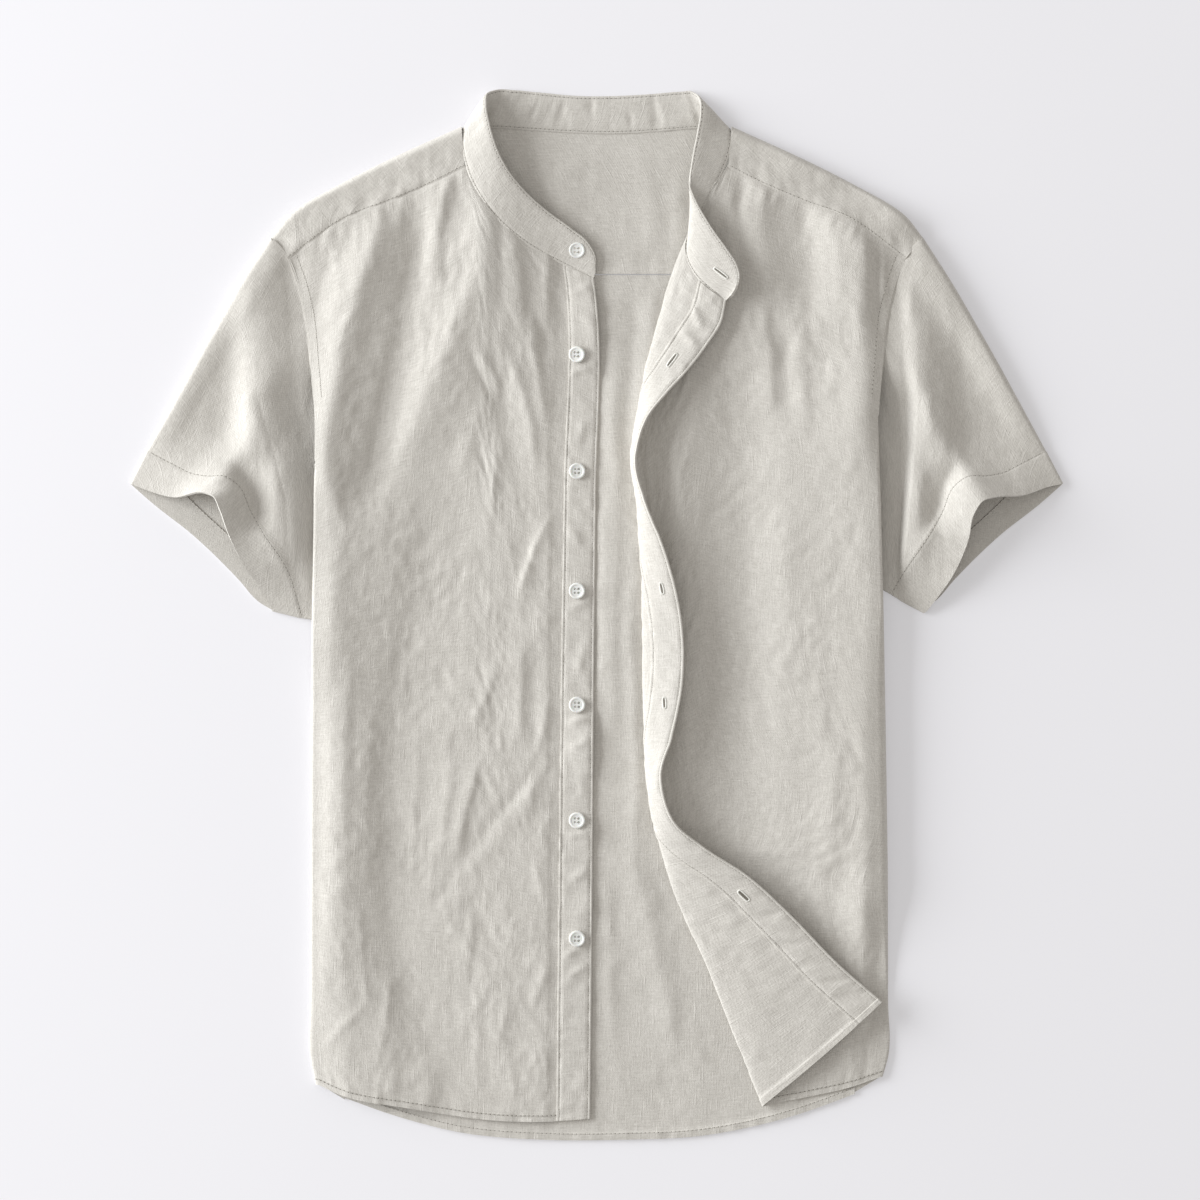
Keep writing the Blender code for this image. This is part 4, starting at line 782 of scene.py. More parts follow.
def flat_places(points, tube=False):
    """Flat place of each grid point: distance run along its row, and distance run down its column."""
    if tube:
        points = np.hstack([points, points[:, :1]])
    across = np.linalg.norm(np.diff(points, axis=1), axis=2)
    down = np.linalg.norm(np.diff(points, axis=0), axis=2)
    across = np.hstack([np.zeros((len(points), 1)), np.cumsum(across, axis=1)])
    down = np.vstack([np.zeros((1, points.shape[1])), np.cumsum(down, axis=0)])
    return np.dstack([across, down])


def put_mesh(name, vertices, groups, finish, places=None, sharp=40.0):
    """A shown mesh from points in millimetres and groups of faces, each an array of faces with as many
    corners. `places` gives each corner's flat place, kept as the piece's own map in metres."""
    mesh = bpy.data.meshes.new(name)
    corners = np.concatenate([group.ravel() for group in groups])
    sizes = np.concatenate([np.full(len(group), group.shape[1]) for group in groups])
    mesh.vertices.add(len(vertices))
    mesh.vertices.foreach_set("co", (np.asarray(vertices, float) * MM).astype(np.float32).ravel())
    mesh.loops.add(len(corners))
    mesh.loops.foreach_set("vertex_index", corners.astype(np.int32))
    mesh.polygons.add(len(sizes))
    mesh.polygons.foreach_set("loop_start", (np.cumsum(sizes) - sizes).astype(np.int32))
    mesh.update(calc_edges=True)
    if places is not None:
        layer = mesh.uv_layers.new(name="cloth")
        layer.uv.foreach_set("vector", (np.asarray(places, float) * MM).astype(np.float32).ravel())
    mesh.validate()
    mesh.shade_smooth()
    mesh.set_sharp_from_angle(angle=math.radians(sharp))
    mesh.materials.append(finish)
    obj = bpy.data.objects.new(name, mesh)
    bpy.context.scene.collection.objects.link(obj)
    return obj


def shell(name, points, flat, above, below, finish, tube=False, keep=None, normal=None):
    """Closed thin wall round a grid, reaching `above` and `below` along its normals, its rim closed."""
    rows, columns = points.shape[:2]
    quads = quads_of(rows, columns, tube)
    places = quads_of(rows, flat.shape[1])
    if keep is not None:
        quads, places = quads[keep], places[keep]
    quads, places = quads.reshape(-1, 4), places.reshape(-1, 4)
    if normal is None:
        normal = normals_of(points, tube, keep)
    upper = points + normal * np.broadcast_to(above, (rows, columns))[..., None]
    lower = points - normal * np.broadcast_to(below, (rows, columns))[..., None]
    both = np.vstack([upper.reshape(-1, 3), lower.reshape(-1, 3)])
    both[:, 2] = np.maximum(both[:, 2], 0.0)
    count = rows * columns
    ends = np.concatenate([quads[:, [k, (k + 1) % 4]] for k in range(4)])
    end_places = np.concatenate([places[:, [k, (k + 1) % 4]] for k in range(4)])
    open_end = ~np.isin(ends[:, 0] * count + ends[:, 1], ends[:, 1] * count + ends[:, 0])
    rim, rim_places = ends[open_end], end_places[open_end]
    rims = np.stack([rim[:, 1], rim[:, 0], rim[:, 0] + count, rim[:, 1] + count], axis=1)
    faces = np.vstack([quads, quads[:, ::-1] + count, rims])
    marks = np.vstack([places, places[:, ::-1], rim_places[:, [1, 0, 0, 1]]])
    used, renumbered = np.unique(faces, return_inverse=True)
    faces = renumbered.reshape(faces.shape)
    return put_mesh(name, both[used], [faces], finish, flat.reshape(-1, 2)[marks.ravel()])


def beside_edge(points, normal, distance, crossing, from_end, first=0, last=None):
    """Path at a distance inside a grid's edge, with its normals. `crossing` 1 runs inward along the rows
    from the first or last column, and 0 runs along the columns from the first or last row."""
    both = np.dstack([points, normal])
    both = both if crossing == 1 else both.transpose(1, 0, 2)
    both = (both[:, ::-1] if from_end else both)[first:last]
    steps = np.linalg.norm(np.diff(both[..., :3], axis=1), axis=2)
    run = np.hstack([np.zeros((len(both), 1)), np.cumsum(steps, axis=1)])
    place = (run < distance).sum(axis=1) - 1
    line = np.arange(len(both))
    part = (distance - run[line, place]) / (run[line, place + 1] - run[line, place])
    found = both[line, place] * (1 - part)[:, None] + both[line, place + 1] * part[:, None]
    return found[:, :3], found[:, 3:]


class Thread:
    """Collects stitches, each a rounded strand half sunk at its ends, and makes them one mesh."""

    def __init__(self):
        self.vertices, self.quads, self.caps, self.count = [], [], [], 0
        self.marks = []

    def sew(self, path, facing, lift, length=2.2, gap=0.9, radius=0.2):
        """Strands end to end along a path: rings of five round a line that rises as a half cosine."""
        path = path + facing * lift
        run = lengths(path)
        number = int(run[-1] // (length + gap))
        if number < 1:
            return
        middles = (np.arange(number) + 0.5) * run[-1] / number
        # painted shade: dark plates at the needle holes between the stitches
        if gap > 0.5:
            self.paint_hole_shade(path, facing, run, np.arange(1, number) * run[-1] / number)
        along = np.array([-0.5, -0.26, 0.26, 0.5])
        marks = (middles[:, None] + along * length).ravel()
        both = np.column_stack([path, facing])
        found = np.stack([np.interp(marks, run, both[:, axis]) for axis in range(6)], axis=1)
        found = found.reshape(number, len(along), 6)
        centre, up = found[..., :3], found[..., 3:]
        up = up / np.linalg.norm(up, axis=2, keepdims=True)
        forward = centre[:, -1:] - centre[:, :1]
        forward = forward / np.maximum(np.linalg.norm(forward, axis=2, keepdims=True), 1e-6)
        beside = np.cross(forward, up)
        beside = beside / np.linalg.norm(beside, axis=2, keepdims=True)
        angle = np.linspace(0.0, 2 * np.pi, 5, endpoint=False)
        size = radius * np.array([0.45, 1.0, 1.0, 0.45])
        centre = centre + up * (np.array([-0.16, 0.08, 0.08, -0.16]))[None, :, None]
        ring = (
            centre[:, :, None]
            + beside[:, :, None] * (np.cos(angle)[:, None] * size[None, :, None, None])
            + up[:, :, None] * (np.sin(angle)[:, None] * size[None, :, None, None])
        )
        base = self.count + np.arange(number)[:, None, None, None] * 20
        k = np.arange(3)[None, :, None, None] * 5
        j = np.arange(5)[None, None, :, None]
        around = np.concatenate([k + j, k + (j + 1) % 5, k + 5 + (j + 1) % 5, k + 5 + j], axis=3)
        self.quads.append((base + around).reshape(-1, 4)[:, ::-1])
        first = np.arange(5)
        caps = np.stack([first, first[::-1] + 15])
        self.caps.append((base[:, 0] + caps[None]).reshape(-1, 5))
        self.vertices.append(ring.reshape(-1, 3))
        self.count += number * 20

    def paint_hole_shade(self, path, facing, run, places, half_length=0.5, half_width=0.34, low=-0.3, high=0.08):
        """Painted shade of the needle holes between the stitches: small lozenge-shaped plates let into the
        cloth, in the dark finish.
        """
        both = np.column_stack([path, facing, np.gradient(path, axis=0)])
        found = np.stack([np.interp(places, run, both[:, axis]) for axis in range(9)], axis=1)
        centre, up, forward = found[:, :3], found[:, 3:6], found[:, 6:]
        up = up / np.linalg.norm(up, axis=1, keepdims=True)
        forward = forward / np.maximum(np.linalg.norm(forward, axis=1, keepdims=True), 1e-6)
        beside = np.cross(up, forward)
        corners = (forward * half_length, beside * half_width, -forward * half_length, -beside * half_width)
        plates = [centre + corner + up * height for height in (high, low) for corner in corners]
        self.marks.append(np.stack(plates, axis=1))

    def made(self, name, finish):
        """All stitches as one mesh."""
        groups = [np.vstack(self.quads), np.vstack(self.caps)]
        return put_mesh(name, np.vstack(self.vertices), groups, finish, sharp=60.0)

    def hole_shade_made(self, name, finish):
        """All the painted needle-hole shade as one mesh of closed plates."""
        plates = np.concatenate(self.marks)
        base = np.arange(len(plates))[:, None, None] * 8
        faces = [(0, 1, 2, 3), (7, 6, 5, 4)] + [(k, k + 4, (k + 1) % 4 + 4, (k + 1) % 4) for k in range(4)]
        quads = (base + np.array(faces)).reshape(-1, 4)
        return put_mesh(name, plates.reshape(-1, 3), [quads], finish, sharp=60.0)


def front_relief(flat, corner, seed):
    """Fine relief of a front, along its normals: creases all over, and puckers beside the placket, the
    yoke seam, the armhole and the hem. It dies away before the cloth turns round the side."""
    across, down = flat[..., 0], flat[..., 1]
    column = np.broadcast_to(np.arange(flat.shape[1]), across.shape)
    beyond = across - PLACKET
    relief = crumple(across, down, seed) * (0.4 + 0.6 * smooth(beyond / 8.0))
    relief += puckers(np.maximum(beyond, 0.0), down, 0.45, 8.0, 8.5, seed + 20) * smooth(beyond + 1.0)
    at_yoke = smooth((column - corner + 4.0) / 8.0)
    relief += at_yoke * puckers(down, across, 1.4, 12.0, 8.0, seed + 30)
    relief += (1.0 - at_yoke) * puckers(down, across, 0.45, 8.0, 7.0, seed + 40)
    relief *= 1.0 - np.exp(-np.maximum(down, 0.0) / 2.5)
    relief += puckers(FRONT_LENGTH - down, across, 0.45, 12.0, 8.0, seed + 50)
    armhole = flat[:, -1:, 0] - across
    relief += smooth((195.0 - down) / 30.0) * puckers(armhole, down, 0.7, 10.0, 8.0, seed + 60)
    turned = flat.shape[1] - 1 - UNDER_COLUMNS - ROLL_COLUMNS - column
    return relief * smooth(turned / 9.0)


def build_front(name, grid, corner, hem_side, seed, finish):
    """A front: its relief is added, it runs on under the yoke and the band, and its hem is thicker on the
    side of its normals (+1) or on the other (-1). Returns the object and the grid without the lap."""
    points, flat = grid
    points = points + normals_of(points) * front_relief(flat, corner, seed)[..., None]
    step = points[0] - points[1]
    lap = points[0] + step * (LAP / np.linalg.norm(step, axis=1))[:, None]
    lap[corner:, 2] -= 0.7
    whole = np.vstack([lap[None], points])
    places = np.vstack([flat[:1] - (0.0, LAP), flat])
    reach = np.full(whole.shape[:2], THIN / 2)
    thicker = reach.copy()
    thicker[-5:] += HEM_EXTRA
    thicker[-6] += HEM_EXTRA / 2
    sides = (thicker, reach) if hem_side > 0 else (reach, thicker)
    return shell(name, whole, places, *sides, finish), points


def placket_relief(strip, marks, down, creases, slant, seed):
    """Height of a placket over its base: edges rounded as exp(-d / 0.5), a groove along each stitch line,
    small ripples between the lines, which cross it aslant and grow at its lower end where `slant` is 1, and
    the creases of a table."""
    near = np.minimum(marks, PLACKET - marks)
    groove = 0.42 * np.exp(-(((near - PLACKET_STITCH) / 0.6) ** 2))
    profile = 0.9 - 0.45 * np.exp(-near / 0.5) - groove
    between = smooth((near - 0.8) / 3.0)
    ripple = 0.55 * hills(down / 9.0 + slant * marks / 14.0, marks / 16.0, seed)
    ripple += 0.22 * hills(down / 4.5 + slant * marks / 8.0, marks / 9.0, seed + 1)
    uneven = smooth(0.55 + 0.9 * hills(down / 38.0, marks / 60.0, seed + 3))
    low_end = slant * smooth((down - 420.0) / 80.0) * uneven
    ripple += low_end * 0.9 * hills(down / 7.5 + marks / 16.0, marks / 24.0, seed + 2)
    relief = profile + between * (ripple + fold_heights(strip[..., 0], strip[..., 1], creases))
    return np.maximum(relief, 0.3)


def build_placket(name, front, over_hem, creases, slant, seed, finish):
    """A strip on a front's edge, on the side of its normals. Returns the object and its upper surface."""
    columns = slice(0, len(PLACKET_MARKS))
    normal = normals_of(front)[:, columns]
    marks = np.broadcast_to(PLACKET_MARKS, normal.shape[:2])
    down = np.broadcast_to(row_shares()[:, None] * FRONT_LENGTH, marks.shape)
    lift = np.full(marks.shape, THIN / 2 + 0.05)
    if over_hem:
        lift[-5:] += HEM_EXTRA
    strip = front[:, columns].copy()
    for edge, following, reach in ((0, 1, 0.4), (-1, -2, 0.4)):
        step = strip[following] - strip[edge]
        strip[edge] += step * (reach / np.linalg.norm(step, axis=1))[:, None]
    height = placket_relief(strip, marks, down, creases, slant, seed)
    piece = shell(name, strip, np.dstack([marks, down]), lift + height, -lift, finish, normal=normal)
    return piece, strip + normal * (lift + height)[..., None]


def build_back(finish):
    """Back panel: flat below, with soft folds, creases and seam puckers raised on its upper face."""
    columns = 150
    across = np.linspace(0.0, 1.0, columns)
    hem_top = 1.0 - HEM / 600.0
    step = hem_top + STEP / 600.0
    down = np.concatenate([np.linspace(0.0, hem_top, 210), [(hem_top + step) / 2], np.linspace(step, 1.0, 5)])
    edges = []
    for side, armhole in ((-1, RIGHT_BACK_ARMHOLE), (1, LEFT_BACK_ARMHOLE)):
        curve = spline(armhole, np.linspace(0.0, 1.0, 80))
        low = curve[curve[:, 1] < 243.0]
        whole = np.vstack([[(218.5, 244.2)], low, [SIDE_SEAM[side][0]]])
        whole[:, 0] -= 0.15 + 0.8 * smooth((whole[:, 1] - armhole[-1][1] + 50.0) / 50.0)
        edges.append(mirrored(straight(whole, down), side))
    top = straight([edges[0][0], edges[1][0]], across)
    bottom = spline([edges[0][-1], *BACK_HEM[1:-1], edges[1][-1]], across)
    plan = coons(top, bottom, *edges, across, down)
    points = np.dstack([plan, np.full(plan.shape[:2], FLOOR)])
    flat = flat_places(points)
    x, y = plan[..., 0], plan[..., 1]
    open_part = smooth((x + 6.0) / 8.0) * smooth((66.0 - x) / 12.0)
    relief = np.maximum(fold_heights(x, y, BACK_FOLDS), 0.0) * (0.35 + 0.65 * open_part)
    relief += 0.4 + 0.6 * crumple(x, y, 71)
    relief += puckers(flat[..., 1], x, 0.5, 10.0, 6.0, 81)
    relief += puckers(flat[-1:, :, 1] - flat[..., 1], x, 0.5, 9.0, 8.0, 83)
    height = THIN / 2 + np.maximum(relief, 0.0) * smooth((y + 380.0) / 3.0)
    height[-5:] += HEM_EXTRA
    height[-6] += HEM_EXTRA / 2
    return shell("back_panel", points, flat, LAYER / 2, height, finish), points, height


def build_yoke(finish):
    """Yoke: flat at the back, and at each end rolled over the shoulder to its front seam, where it lies
    over the front with a raised edge. Each strip runs back seam, half circle, front seam."""
    arm, middle, back_rows, roll_rows, front_count = 60, 74, 26, 14, 22
    columns = []
    for side in (-1, 1):
        stations = spline(np.array(SHOULDER), np.linspace(0.0, 1.0, arm))
        strips = []
        for back_out, back_y, fold_out, fold_y, front_out, front_y in stations:
            fold = np.array([side * fold_out, fold_y])
            front = np.array([side * front_out, front_y])
            back = np.array([side * back_out, back_y])
            inward = (front - fold) / np.linalg.norm(front - fold)
            z = float(top_height(front[:1], front[1:])[0])
            radius = (z - FLOOR) / 2
            centre = np.array([*(fold + inward * (radius + LAYER / 2)), FLOOR + radius])
            turn = arc(centre, -inward, radius, -90.0, 90.0, roll_rows + 2)
            low = np.linspace([*back, FLOOR], turn[0], back_rows)[:-1]
            high = np.linspace(turn[-1], [*front, z], front_count + 1)[1:]
            share = np.linspace(0.0, 1.0, front_count + 1)[1:]
            high[:, 2] += (top_height(high[:, 0], high[:, 1]) - high[:, 2]) * smooth(share)
            high[:, 2] += 0.25 * smooth((share - 0.6) / 0.4)
            strips.append(np.vstack([low, turn, high]))
        columns.append(np.array(strips))
    left, right = columns[0][::-1], columns[1]
    share = np.linspace(0.0, 1.0, middle + 2)[1:-1]
    neck = spline(BACK_NECK, share)
    between = np.zeros((middle, left.shape[1], 3))
    low_ends = left[-1, 0], right[0, 0]
    for k, (x, y) in enumerate(neck):
        start = low_ends[0] + (low_ends[1] - low_ends[0]) * share[k]
        between[k, :back_rows] = np.linspace(start, [x, y, FLOOR], back_rows)
        between[k, back_rows:] = between[k, back_rows - 1]
    points = np.vstack([left, between, right]).transpose(1, 0, 2)
    keep = np.ones((points.shape[0] - 1, points.shape[1] - 1), bool)
    keep[back_rows - 1 :, arm - 1 : arm + middle] = False
    flat = flat_places(points)
    normal = normals_of(points, keep=keep)
    row = np.arange(len(points))[:, None]
    x, y = points[..., 0], points[..., 1]
    outside = smooth((row - back_rows - roll_rows + 4) / 6.0)
    inside = 1.0 - smooth((row - back_rows + 6) / 4.0)
    to_front = flat[-1:, :, 1] - flat[..., 1]
    gathered = puckers(to_front, x, 1.3, 10.0, 8.5, 93) + puckers(0 * x + 6, x, 0.5, 9.0, 9.0, 95)
    relief = outside * (0.7 * crumple(x, y, 91) + gathered)
    relief *= 1.0 - np.exp(-to_front / 2.0)
    relief -= outside * 0.32 * np.exp(-to_front / 3.0)
    points = points + np.abs(normal) * np.array([0.0, 0.0, 1.0]) * relief[..., None]
    back_face = 0.35 + 0.45 * np.exp(-flat[..., 1] / 3.0) + 0.7 * crumple(x, y, 97)
    back_face += puckers(flat[..., 1], x, 0.55, 11.0, 6.5, 99)
    back_face += np.maximum(fold_heights(x, y, BACK_FOLDS), 0.0)
    back_face = inside * np.maximum(back_face, 0.0)
    upward = np.where(normal[..., 2] >= 0.0, 1, 0)
    lower_side = inside * (LAYER / 2 - THIN / 2)
    above = THIN / 2 + np.where(upward == 1, back_face, lower_side)
    below = THIN / 2 + np.where(upward == 1, lower_side, back_face)
    piece = shell("yoke_panel", points, flat, above, below, finish, keep=keep)
    return piece, points, normal, (arm, middle, back_rows)


def sleeve_layer(top, seam, hem, outer, under, across, body_rows, hem_rows):
    """Rows from the armhole to the turned hem's edge, then through the hem; height grows late."""
    body = coons(top, seam, outer[0], under[0], across, body_rows)
    late = coons(top, seam, outer[0], under[0], across, body_rows**6)
    body[..., 2] = late[..., 2]
    turned = coons(seam, hem, outer[1], under[1], across, hem_rows)
    return np.vstack([body, turned])


def sleeve_ring(front, back):
    """One closed ring: front layer, fold at the underarm, back layer, fold at the shoulder side."""
    parts = []
    for layer, other, count in ((front, back, FRONT_RING), (back[::-1], front[::-1], BACK_RING)):
        inset = [abs(layer[k, 2] - other[k, 2]) / 2 + LAYER / 2 for k in (0, -1)]
        parts.append(at_lengths(layer, np.linspace(inset[0], lengths(layer)[-1] - inset[1], count + 1)))
    ring = []
    for layer, following in ((parts[0], parts[1]), (parts[1], parts[0])):
        start, end = layer[-1], following[0]
        outward = layer[-1, :2] - layer[-2, :2]
        outward = outward / np.linalg.norm(outward)
        radius = abs(start[2] - end[2]) / 2
        share = np.linspace(0.0, 1.0, FOLD_RING + 1)[1:-1, None]
        between = start + (end - start) * (1 - np.cos(np.pi * share)) / 2
        between[:, :2] += outward * radius * np.sin(np.pi * share)
        ring += [layer, between]
    return np.vstack(ring)


def build_sleeve(name, side, back_armhole, underarm, wave, seed, finish):
    """Sleeve: a flattened tube, its back layer on the table and its front layer arched at the hem. Returns
    the object, the rings of middle points, the row of the hem's stitch line and the normals' sense."""
    across = np.linspace(0.0, 1.0, 2 * DENSE + 1)
    body_rows = np.linspace(0.0, 1.0, SLEEVE_ROWS)
    hem_rows = np.concatenate([[0.03, 0.07], np.linspace(0.14, 1.0, 12)])
    seam_front = spline([(235.0, 271.0), *FRONT_ARMHOLE, (196.5, 95.0), underarm[0]], across)
    body_z = top_height(side * seam_front[:, 0], seam_front[:, 1])
    tucked = smooth((192.0 - seam_front[:, 1]) / 44.0)
    front_top = np.column_stack([seam_front, body_z * (1 - tucked) + TUCK_Z * tucked])
    outer_z = 3.6 + (body_z[0] - 3.6) * (1.0 - body_rows**4)
    outer = np.column_stack([spline(OUTER_FOLD, body_rows), outer_z])
    under = np.column_stack([spline(underarm, body_rows), np.full(len(body_rows), TUCK_Z)])
    stitch = spline([*SLEEVE_STITCH, (*underarm[-1], TUCK_Z)], across)
    hem = spline(wave, across)
    outer_hem = stitch[0] + (hem[0] - stitch[0]) * hem_rows[:, None]
    under_hem = stitch[-1] + (hem[-1] - stitch[-1]) * hem_rows[:, None]
    front = sleeve_layer(
        front_top, stitch, hem, (outer, outer_hem), (under, under_hem), across, body_rows, hem_rows
    )
    shares = np.concatenate([body_rows, np.ones(len(hem_rows))])
    middle = np.sin(np.pi * across)[None] ** 0.8
    puff = np.sin(np.pi * shares)[:, None] * PUFF
    out, y = front[..., 0], front[..., 1]
    fine = 0.9 * crumple(side * out, y, seed) * smooth(shares[:, None] * 8.0)
    from_seam = np.cumsum(np.linalg.norm(np.diff(front, axis=0, prepend=front[:1]), axis=2), axis=0)
    fine += puckers(from_seam, across[None] * 300.0, 0.9, 12.0, 9.0, seed + 5)
    front[..., 2] += middle * (puff + fold_heights(out, y, SLEEVE_FOLDS) + fine)
    front[0, :, 2] = front_top[:, 2]
    seam_out, seam_z = (
        np.interp(front[..., 1], seam_front[::-1, 1], line[::-1]) for line in front_top.T[[0, 2]]
    )
    beyond = np.maximum(front[..., 0] - np.maximum(seam_out, BODY_SIDE - 2.0), 0.0)
    crest, width = (np.interp(front[..., 1], *np.array(line)[::-1].T) for line in SLEEVE_CREST[side])
    inside = front[..., 0] - crest
    fold = np.exp(-((inside / np.where(inside > 0.0, 17.0, 0.8 * width)) ** 2))
    fold *= smooth((258.0 - front[..., 1]) / 40.0) * smooth((front[..., 1] - 22.0) / 34.0)
    lower_arm = smooth((124.0 - front[..., 1]) / 40.0)
    front[..., 2] += fold * (SLEEVE_FOLD_HEIGHT[side] * (1.0 - lower_arm) + SLEEVE_FOLD_LOW * lower_arm)
    front[0, :, 2] = front_top[:, 2]
    # Inside of the fold the sleeve slopes down to the armhole seam: a soft minimum of two heights
    clear = seam_z + 0.04 * beyond + 8.6 * smooth((inside + width) / width) + 0.6 * np.maximum(inside, 0.0)
    lower = -2.4 * np.logaddexp(-front[..., 2] / 2.4, -(clear + 1.4) / 2.4)
    front[1:, :, 2] = np.maximum(lower, TUCK_Z)[1:]

    flat = np.full(len(across), FLOOR)
    back_top = np.column_stack([spline(back_armhole, across), flat])
    back_stitch = np.column_stack([spline([*BACK_STITCH, underarm[-1]], across), flat])
    back_hem = np.column_stack([spline(SLEEVE_HEM_BACK, across), flat])
    back_hem[0, :2], back_hem[-1, :2] = hem[0, :2], hem[-1, :2]
    low = [line.copy() for line in (outer, under, outer_hem, under_hem)]
    for line in low:
        line[:, 2] = FLOOR
    back = sleeve_layer(
        back_top, back_stitch, back_hem, (low[0], low[2]), (low[1], low[3]), across, body_rows, hem_rows
    )
    rings = np.array([sleeve_ring(f, b) for f, b in zip(front, back)])
    rings[..., 0] *= side
    step = rings[1] - rings[0]
    under_body = np.arange(rings.shape[1]) < FRONT_RING
    reach = np.where(under_body, -1.6, 0.15) / np.linalg.norm(step, axis=1)
    rings[0] += step * reach[:, None]
    rings[0, under_body, 2] -= 0.6
    extra = np.zeros(rings.shape[:2])
    extra[len(body_rows) :] = HEM_EXTRA
    normal = normals_of(rings, tube=True)
    outward = normal[len(body_rows) // 2, FRONT_RING // 2, 2] > 0
    on_table = 1.0 - smooth((rings[..., 2] - FLOOR - 0.02) / 0.3)
    outer_side, inner_side = THIN / 2 + on_table * (LAYER - THIN) / 2, THIN / 2 + extra
    outer_side[len(body_rows)] -= 0.12 * (1.0 - on_table[len(body_rows)])
    outer_side[len(body_rows) + 1 :] += 0.3 * (1.0 - on_table[len(body_rows) + 1 :])
    sides = (outer_side, inner_side) if outward else (inner_side, outer_side)
    piece = shell(name, rings, flat_places(rings, True), *sides, finish, tube=True)
    return piece, rings, normal * (1 if outward else -1), len(body_rows)


def build_collar(left_front, finish):
    """Collar band: ruled between the neck seam and the band's top edge, turned over with the flap. Its
    thickness is a rounded profile, and gathers run up it as ripples."""
    count, columns = 420, 22
    rows = []
    turned_edge = left_front[0]
    for part, seam_x, seam_y, seam_z, *top in COLLAR:
        if part == "front":
            seam_z = float(top_height(np.array([seam_x]), np.array([seam_y]))[0])
        seam = np.array([seam_x, seam_y, seam_z])
        if part == "turn":
            dense = at_lengths(turned_edge, np.linspace(0.0, lengths(turned_edge)[-1] * 0.5, 800))
            far = np.linalg.norm(dense[:, :2] - seam[:2], axis=1) + (dense[:, 2] < 6.0) * 4
            seam = dense[np.argmin(far)]
        rows.append([*seam, *top])
    rows = np.array(rows)
    smoothed = rows.copy()
    smoothed[1:-1] = rows[1:-1] * 0.6 + (rows[:-2] + rows[2:]) * 0.2
    smoothed = spline(smoothed, np.linspace(0.0, 1.0, count))
    seam, top = smoothed[:, :3], smoothed[:, 3:]
    span = top - seam
    seam = seam - span * (BAND_LAP / np.linalg.norm(span, axis=1))[:, None]
    share = (1 - np.cos(np.pi * np.linspace(0.0, 1.0, columns))) / 2
    share = (0.5 * share + 0.5 * np.linspace(0.0, 1.0, columns))[None, :, None]
    points = seam[:, None] * (1 - share) + top[:, None] * share
    normal = normals_of(points)
    upward = np.sign(normal[count // 2, columns // 2, 2])
    flat = flat_places(points)
    run = np.broadcast_to(lengths(seam)[:, None], points.shape[:2])
    share = np.broadcast_to(share[..., 0], run.shape)
    bulge = np.sin(np.pi * share)
    behind = smooth((points[..., 1] - 335.0) / 20.0)
    gathers = 0.8 * hills(run / 12.0, share * 1.3, 131) + 0.35 * hills(run / 6.0, share * 1.6, 132)
    gathers = gathers * bulge**0.6 * (0.16 + 1.15 * behind) + 0.12 * hills(run / 7.0, share * 4.0, 134)
    above_table = np.maximum(points[..., 2:3] - 1.1, 0.0)
    points = points + normal * np.clip(gathers[..., None], -above_table, 3.0)
    edge = np.minimum(share, 1.0 - share) * 28.0
    groove = 0.34 * np.exp(-(((edge - EDGE_STITCH) / 0.6) ** 2))
    reach = BAND / 2 * (1.0 - 0.6 * np.exp(-edge / 0.6)) - groove
    piece = shell("collar_band", points, flat, reach, reach, finish)
    return piece, points, normal, reach, upward


def build_button(name, middle, facing, finish):
    """A turned button as one closed surface of rings: a dished face with four pits, a round rim, and a
    flat back. Face height = dish + rim bump - pits, each a smooth step of a distance."""
    segments = 72
    turn = np.linspace(0.0, 2 * np.pi, segments, endpoint=False)
    radius = np.concatenate([[0.08], np.linspace(0.4, 3.0, 14), np.linspace(3.3, 5.55, 12)])[:, None]
    x, y = radius * np.cos(turn), radius * np.sin(turn)
    rim = smooth((radius - 3.6) / 1.1) * (1.0 - 0.55 * smooth((radius - 4.9) / 1.0) ** 2)
    face = BUTTON_THICK - 0.45 + 0.45 * rim - 0.1 * smooth(1.0 - radius / 3.8)
    for hole_y in (-THREAD_HOLE, THREAD_HOLE):
        for hole_x in (-THREAD_HOLE, THREAD_HOLE):
            face = face - 1.15 * smooth((0.9 - np.hypot(x - hole_x, y - hole_y)) / 0.35)
    rings = [np.dstack([x, y, face])[k] for k in range(len(radius))]
    for edge_radius, height in ((5.78, 1.7), (5.9, 1.3), (5.8, 0.9), (5.2, 0.3), (4.7, 0.0), (0.08, 0.0)):
        ring = np.column_stack([edge_radius * np.cos(turn), edge_radius * np.sin(turn)])
        rings.append(np.column_stack([ring, np.full(segments, height)]))
    points = np.array(rings)
    turned = np.array(Vector((0.0, 0.0, 1.0)).rotation_difference(Vector(facing)).to_matrix())
    vertices = points.reshape(-1, 3) @ turned.T + middle
    quads = quads_of(len(rings), segments, True).reshape(-1, 4)
    last = len(vertices) - segments
    caps = np.stack([np.arange(segments)[::-1], np.arange(segments) + last])
    return put_mesh(name, vertices, [quads[:, ::-1], caps[:, ::-1]], finish, sharp=50.0), turned


def seat_on(cloth, x, y):
    """Middle of a button's underside and the way it faces, on a plane fitted to the cloth under it."""
    near = cloth.reshape(-1, 3)
    near = near[np.hypot(near[:, 0] - x, near[:, 1] - y) < BUTTON_RADIUS]
    flat = np.column_stack([np.ones(len(near)), near[:, 0] - x, near[:, 1] - y])
    level, slope_x, slope_y = np.linalg.lstsq(flat, near[:, 2], rcond=None)[0]
    facing = np.array([-slope_x, -slope_y, 1.0])
    facing /= np.linalg.norm(facing)
    middle = np.array([x, y, level])
    high = np.percentile((near - middle) @ facing, 90)
    return middle + facing * (high + 0.1), facing


